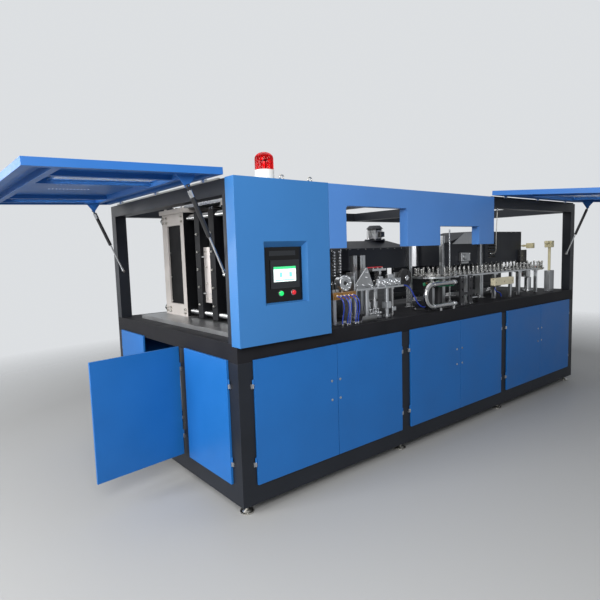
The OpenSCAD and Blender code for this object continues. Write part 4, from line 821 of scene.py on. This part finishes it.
piece("gripper_bodies", [block((x - 17, 256.3, 1465), (x + 17, 282, 1496), 2) for x in GRIPPER_X],
      strut_black, "transfer_carriage")
piece("gripper_rail", [block((GRIPPER_X[0] - 24, 260, 1496.2),
                             (GRIPPER_X[-1] + 24, 276, 1504), 1.5)],
      surface("button_red", (196, 44, 54), 0.35, shade=0.06, patch=20), "transfer_carriage")
piece("gripper_pads", [block((x + side * 10 - 5, 304, 1473), (x + side * 10 + 5, 321, 1487), 1.2)
                       for x in GRIPPER_X for side in (-1, 1)], bronze, "transfer_carriage")
piece("carriage_screws", screws(grid((1455, 1595), (214, 256), 1390.3), UP, 8)
      + screws(grid((1470, 1525, 1580), 237, 1490.3), UP, 8), zinc_steel, "transfer_carriage")
pulley_outline = toothed(PULLEY[::2], 48, 72.3, 75.2, (0, 0.15, 0.5, 0.65))
piece("pulley_teeth", [prism(pulley_outline, 168.2, 191.8, 1)], pulley_black, "drive_pulley")
hub = [(22, 0), (22, 5), (20, 7), (13, 7), (13, 3)]
hub_screws = screws([(PULLEY[0] + 17 * math.sin(a), 151, PULLEY[2] + 17 * math.cos(a))
                     for a in np.arange(4) * math.pi / 2], FRONT, 5)
piece("pulley_hub", [turned(hub, (PULLEY[0], 158, PULLEY[2]), FRONT)] + hub_screws, zinc_bright,
      "drive_pulley")
piece("hose_collets", [collet(LEFT_HOSE[0], RIGHT), collet(LEFT_HOSE[-1], LEFT),
                       collet(RIGHT_HOSE[0], DOWN), collet(RIGHT_HOSE[-1], UP)],
      strut_black)
gland = [(10, 0), (10, 9), (8, 12), (8, 16), (6, 18)]
piece("cable_glands", [turned(gland, SENSOR_CABLE[0], DOWN),
                       turned(gland, SENSOR_CABLE[-1], FRONT)], zinc_bright)


# Valve bank
# An upright black plate on the table behind the transfer plate, with two rows of push-in fittings
# and a cap screw at each corner. A flat foot plate behind it stands on the table.
BANK = (1092, 1216)
piece("bank_plate", [block((BANK[0], 340, SEAT), (BANK[1], 350, 1662), 2),
                     block((BANK[0] + 6, 350, SEAT), (BANK[1] - 6, 392, 1106), 1)], strut_black)
piece("bank_fittings", fittings(grid((1124, 1186), 340, np.linspace(1452, 1632, 9)), FRONT, 20)
      + screws(grid((1104, 1204), 340, (1120, 1400, 1648)), FRONT, 8), zinc_bright)


# Infeed
# A green nylon star wheel on a black bearing stand, with a polished guide tube before it and a
# sensor in a holder beside it.
WHEEL = (2290, 190)


def ring_of(count, radius, centre, height, start=0.0):
    """Places evenly spaced on a level circle."""
    angle = start + 2 * math.pi * np.arange(count) / count
    return [(centre[0] + radius * math.cos(a), centre[1] + radius * math.sin(a), height)
            for a in angle]


stand_black = surface("stand_black", (34, 34, 37), 0.42, shade=0.12, patch=8, grain=300,
                      wear_and_highlight=(105, 106, 108), shine=0.4)
dress(surface("wheel_green", (18, 128, 84), 0.42, shade=0.06, patch=12, grain=200), "infeed_wheel")
dress(stand_black, "wheel_stand")
dress(polished_steel, "guide_tube")
piece("wheel_clamp", [turned([(47, 0), (48, 1), (48, 5), (46, 7)], (*WHEEL, 1325), sides=40),
                      hex_nut((*WHEEL, 1332), UP, 17)] + screws(ring_of(6, 39, WHEEL, 1332), UP, 7),
      zinc_bright, "infeed_wheel")
foot_spots = ((1985, 215), (2130, 215), (2450, 215), (2668, 215), (2668, 95), (2120, 90))
piece("stand_screws", screws(ring_of(4, 45, WHEEL, 1130, 0.6), UP, 9)
      + screws([(x, y, 1110) for x, y in foot_spots], UP, 10)
      + screws(grid((2466, 2506, 2601, 2641), 68, (1118, 1362)), FRONT, 8), zinc_bright)
piece("sensor_holder", [block((1980, 74, 1320), (2026, 106, 1326), 1),
                        block((1990, 80, 1326), (2016, 104, 1358), 2)], stand_black)
piece("wheel_sensor", [turned([(6, 0), (6, 62), (5, 64), (3, 64)], (1972, 92, 1342), RIGHT, 24),
                       hex_nut((1981, 92, 1342), RIGHT, 10),
                       hex_nut((2016.5, 92, 1342), RIGHT, 10)], bronze)
piece("guide_tube_collars", [turned([(21, 0), (23, 1), (23, 9), (21, 10)], place, RIGHT, 36)
                             for place in grid((1979, 2270), 25, (1145, 1335))], zinc_bright)


# Preform chain
# An oval aluminium rail on props with a hardened steel chain: chamfered carrier blocks with link
# plates, rollers and turned mandrels that have two sealing grooves each.
CHAIN_LEFT, CHAIN_RIGHT, CHAIN_MIDDLE, CHAIN_R = 2400, 4280, 350, 150
RAIL_Z = 1375
CARRIERS = 60


def chain_places(count):
    """Place x, y and heading of evenly spaced points of the oval. At length s they lie on the front
    straight, the right half turn, the rear straight or the left half turn."""
    run, turn = CHAIN_RIGHT - CHAIN_LEFT, math.pi * CHAIN_R
    s = np.arange(count) * 2 * (run + turn) / count
    share = [s < run, s < run + turn, s < 2 * run + turn]
    right = (s - run) / CHAIN_R - math.pi / 2
    left = (s - 2 * run - turn) / CHAIN_R + math.pi / 2
    x = np.select(share, [CHAIN_LEFT + s, CHAIN_RIGHT + CHAIN_R * np.cos(right),
                          CHAIN_RIGHT - (s - run - turn)], CHAIN_LEFT + CHAIN_R * np.cos(left))
    y = np.select(share, [0 * s - CHAIN_R, CHAIN_R * np.sin(right), 0 * s + CHAIN_R],
                  CHAIN_R * np.sin(left)) + CHAIN_MIDDLE
    return x, y, np.select(share, [0 * s, right + math.pi / 2, 0 * s + math.pi], left + math.pi / 2)


def set_along(parts, x, y, heading):
    """The parts turned to a heading about Z and moved to a place on the rail."""
    c, s = math.cos(heading), math.sin(heading)
    turn = np.array([[c, s, 0], [-s, c, 0], [0, 0, 1]])
    return [(points @ turn + (x, y, RAIL_Z), faces) for points, faces in parts]


chain_steel = surface("chain_steel", (192, 191, 188), 0.24, metal=1.0, shade=0.12, patch=30,
                      grain=300)
dress(profile_aluminium, "chain_rail")
dress(chain_steel, "chain_wheel_left", "chain_wheel_right")
carrier = [block((-20, -13, 0.2), (20, 13, 19), 2.5),
           turned([(11, 0), (12, 1), (12, 4), (11, 5)], (0, 0, 19.2), sides=20)]
grooves = [(11.5, 33), (11.5, 38), (10.2, 38.6), (10.2, 41.4), (11.5, 42), (11.5, 45), (10.2, 45.6),
           (10.2, 48.4), (11.5, 49)]
stem = [(8, 0), (8, 14), (9.5, 15), (9.5, 18), (8, 19), (8, 31)]
mandrel = [turned(stem + grooves + [(11, 52.5), (8, 53)], (0, 0, 24.2), sides=18)]
places = np.stack(chain_places(CARRIERS), axis=1)
blocks, mandrels, links = [], [], []
for here, there in zip(places, np.roll(places, -1, axis=0)):
    blocks += set_along(carrier, *here)
    mandrels += set_along(mandrel, *here)
    step = there[:2] - here[:2]
    half = np.linalg.norm(step) / 2
    plate = block((-half - 5, -6, 24.3), (half + 5, 6, 27.5), 1)
    links += set_along([plate], *((here + there) / 2)[:2], math.atan2(step[1], step[0]))
for name, parts in (("chain_blocks", blocks), ("chain_mandrels", mandrels), ("chain_links", links)):
    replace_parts(piece(name, parts, chain_steel), "preform_carriers")
piece("stop_cylinder", [turned([(15, 0), (15, 130)], (2724, 150, 1150), RIGHT),
                        turned([(6, 0), (6, 40)], (2866, 150, 1150), RIGHT, 16)], polished_steel)
piece("stop_cylinder_caps", [block((x, 132, 1132), (x + 16, 168, 1168), 2) for x in (2710, 2852)]
      + [block((x, 138, SEAT), (x + 8, 162, 1134), 1) for x in (2714, 2856)]
      + fittings(grid((2718, 2860), 150, 1168), UP), strut_black)


# Ovens
# Black powder-coated sheet hoods on slotted aluminium columns, with folded edge strips held by
# pan-head screws, a finned fan motor on the left hood and quartz lamps inside. A louvred heat
# shield hangs under the left hood, and a black sheet with a cable duct closes the chain's back:
# painted shade that keeps the chain dark and stops the backdrop showing between its mandrels.
COLUMNS = ((1420, 410, 40, 40, 1600), (1500, 410, 60, 40, 1600), (2150, 410, 40, 40, 1766),
           (1420, 1000, 40, 40, 1600), (2140, 1000, 40, 40, 1600), (2625, 380, 40, 40, 1760),
           (2625, 700, 40, 40, 1760), (3230, 340, 60, 60, 1668), (3230, 700, 60, 60, 1668),
           (4050, 340, 40, 40, 1668), (4050, 700, 40, 40, 1668))
FAN = (1935, 640)


def pan_screws(start, end, count, axis):
    """Row of pan-head screws between two places."""
    head = [(4.2, 0), (4.2, 0.9), (3.2, 2.2), (1.4, 2.6), (0.5, 2.6)]
    return [turned(head, place, axis, 12) for place in np.linspace(start, end, count)]


hood_black = surface("hood_black", (25, 28, 35), 0.46, shade=0.10, patch=3, grain=380,
                     wear_and_highlight=(78, 82, 90), shine=0.3)
cream_paint = surface("nylon_cream", (214, 204, 164), 0.45, shade=0.06, patch=8, grain=260)
dress(hood_black, "oven_hood_left", "oven_hood_middle", "oven_hood_right")
dress(profile_aluminium, "oven_columns")
dress(surface("lamp_quartz", (222, 218, 205), 0.22, shade=0.05, patch=14), "oven_lamps")
dress(surface("nylon_cream", (222, 212, 182), 0.50, shade=0.06, patch=14), "guide_block")
feet, foot_screws = [], []
folded = np.array([(-32, 0.2), (-0.1, 0.2), (-0.1, 32), (-4, 32), (-4, 4), (-32, 4)])
for x, y, wide, deep, top in COLUMNS:
    feet += [prism(folded + (y, TABLE_TOP), x + 5, x + wide - 5, 0),
             prism(folded + (x, TABLE_TOP), y + 5, y + deep - 5, 1)]
    foot_screws += screws([(x + wide / 2, y - 18, TABLE_TOP + 4),
                           (x - 18, y + deep / 2, TABLE_TOP + 4)], UP, 7)
    foot_screws += screws([(x - 4, y + deep / 2, 1120)], LEFT, 7)
piece("column_feet", feet, bed_aluminium)
piece("column_foot_screws", foot_screws, zinc_bright)
piece("column_caps", [block((x + 1, y + 1, top + 0.1), (x + wide - 1, y + deep - 1, top + 3), 1)
                      for x, y, wide, deep, top in COLUMNS], strut_black)
strips = [block((x0, 318.6, z0), (x1, 319.9, z1), 0.4)
          for x0, x1, z0, z1 in ((3290, 4050, 1461, 1479), (3290, 4050, 1777, 1795),
                                 (3290, 3306, 1480, 1776), (4034, 4050, 1480, 1776))]
strips += [block((2665, 358.6, 1461), (3230, 359.9, 1479), 0.4)]
for z in (1476, 1642):
    strips += [block((1400, 448.6, z), (2200, 449.9, z + 18), 0.4),
               block((1398.6, 450, z), (1399.9, 1000, z + 18), 0.4)]
piece("hood_edge_strips", strips, hood_black)
rows = []
for x0, x1, y, z, count in ((3310, 4030, 318.6, 1470, 8), (3310, 4030, 318.6, 1786, 8),
                            (2690, 3205, 358.6, 1470, 6), (1420, 2180, 448.6, 1651, 9)):
    rows += pan_screws((x0, y, z), (x1, y, z), count, FRONT)
rows += pan_screws((1398.6, 470, 1651), (1398.6, 980, 1651), 6, LEFT)
piece("hood_screws", rows, zinc_steel)
piece("fan_motor_fins", [prism(toothed(FAN, 36, 64, 72, (0, 0.3, 0.5, 0.8)), 1744, 1822, 2, 1)],
      bed_aluminium)
piece("fan_motor_rings", [turned([(64, 0), (66, 1), (66, 6), (64, 7)], (*FAN, 1737), sides=48),
                          turned([(64, 0), (66, 1), (66, 11), (64, 12)], (*FAN, 1822), sides=48),
                          block((FAN[0] - 28, FAN[1] - 98, 1758),
                                (FAN[0] + 28, FAN[1] - 66, 1806), 3)], strut_black)
piece("fan_flange_screws", screws(ring_of(8, 83, FAN, 1737), UP, 8), zinc_bright)
# Painted shade: dark sheets behind the chain's rear run, where the machine's back lies in shade.
piece("chain_back_shade_sheet", [block((x0, 696, 1140), (x1, 699, 1460), 0.8)
                      for x0, x1 in ((2232, 2898), (2900, 3598), (3600, 4296))], hood_black)
piece("chain_back_sheet_duct", [block((2240, 678, 1172), (4290, 696, 1212), 2),
                           block((2240, 676.5, 1174), (4290, 678, 1210), 0.6)], screen_bezel)
piece("chain_back_sheet_screws", pan_screws((2260, 696, 1445), (4270, 696, 1445), 16, FRONT)
      + pan_screws((2260, 696, 1155), (4270, 696, 1155), 16, FRONT), zinc_steel)
piece("heat_shield", [block((1404, 720, 1296), (2196, 722.5, 1476), 0.5)]
      + [prism([(704, z), (720, z + 12), (720, z + 14), (703, z + 1.5)], 1440, 2160, 0)
         for z in range(1310, 1460, 26)], hood_black)
# A pale aluminium plate, almost upright before the middle hood and shaped like that hood's lit
# front slope: a painted highlight standing in for the slope, on two small brackets.
lit_slope_outline = np.array([(2737, 346, 1675), (3200, 346, 1672), (3228, 354, 1790), (2972, 354, 1789)])
piece("hood_slope_highlight", [skin(np.stack([lit_slope_outline + (0, 2, 0), lit_slope_outline])),
                     block((2990, 356, 1752), (3010, 372, 1788), 1),
                     block((3190, 356, 1780), (3210, 372, 1790), 1)], bed_aluminium)
piece("hood_gearbox", [block((2862, 322, 1496), (3018, 359.9, 1586), 5),
                       turned([(30, 0), (30, 8), (26, 11), (10, 11)], (2925, 322, 1541), FRONT, 36),
                       block((2878, 330, 1474), (3002, 359.9, 1496), 2)], bed_aluminium)
piece("hood_gearbox_screws", screws(grid((2874, 3006), 322, (1508, 1574)), FRONT, 8), zinc_bright)
piece("terminal_box", [block((3985, 297, 1436), (4122, 339.9, 1584), 4),
                       block((3981, 289, 1432), (4126, 297, 1588), 3)], strut_black)
piece("junction_box", [block((4022, 232, 1279), (4108, 300, 1428), 4),
                       block((4050, 300, 1330), (4080, 339.9, 1370), 1)], bed_aluminium)
piece("reflector_head", [block((4185, 250, 1602), (4235, 330, 1662), 4),
                         block((4090.1, 352, 1625), (4185, 366, 1640), 1),
                         block((4178, 330, 1620), (4192, 366, 1645), 1)], cream_paint)
piece("cream_pole", [turned([(15, 0), (15, 265)], (4342, 130, 1340), sides=32),
                     block((4300, 90, 1606), (4372, 170, 1682), 5),
                     block((4250, 106, 1650), (4300, 150, 1676), 3)], cream_paint)
piece("pole_base_cover", [block((4288.5, 98.5, 1112), (4401.5, 161.5, 1340.5), 3)], bed_aluminium)
piece("guide_block_screws", screws(grid((3160, 3315, 3470), 121, 1273), FRONT, 8), zinc_steel)


# Air receiver
# A dished steel tank, painted grey, on two saddles behind the left bay's doors. It has rolled
# seams at both heads, a brass safety valve on the boss and a pressure gauge.
dress(surface("receiver_grey", (108, 113, 118), 0.40, shade=0.06, patch=6, grain=260),
      "air_receiver")
TANK_Y, TANK_Z = 1600, 440
seam = [(200.2, 0), (202.5, 2), (202.5, 7), (200.2, 9)]
piece("receiver_seams", [turned(seam, (x, TANK_Y, TANK_Z), RIGHT, 64) for x in (352, 1239)],
      surface("receiver_grey", (96, 100, 105), 0.45))
valve_profile = [(16, 0), (16, 8), (11, 10), (11, 30), (15, 32), (15, 48), (8, 52), (5, 52),
                 (5, 62)]
piece("safety_valve", [turned(valve_profile, (800, TANK_Y, 695))], bronze)
gauge_profile = [(8, 0), (8, 22), (30, 24), (32, 26), (32, 42), (29, 43), (28, 41)]
piece("pressure_gauge", [turned(gauge_profile, (1080, 1402, TANK_Z), FRONT, 40)], zinc_bright)
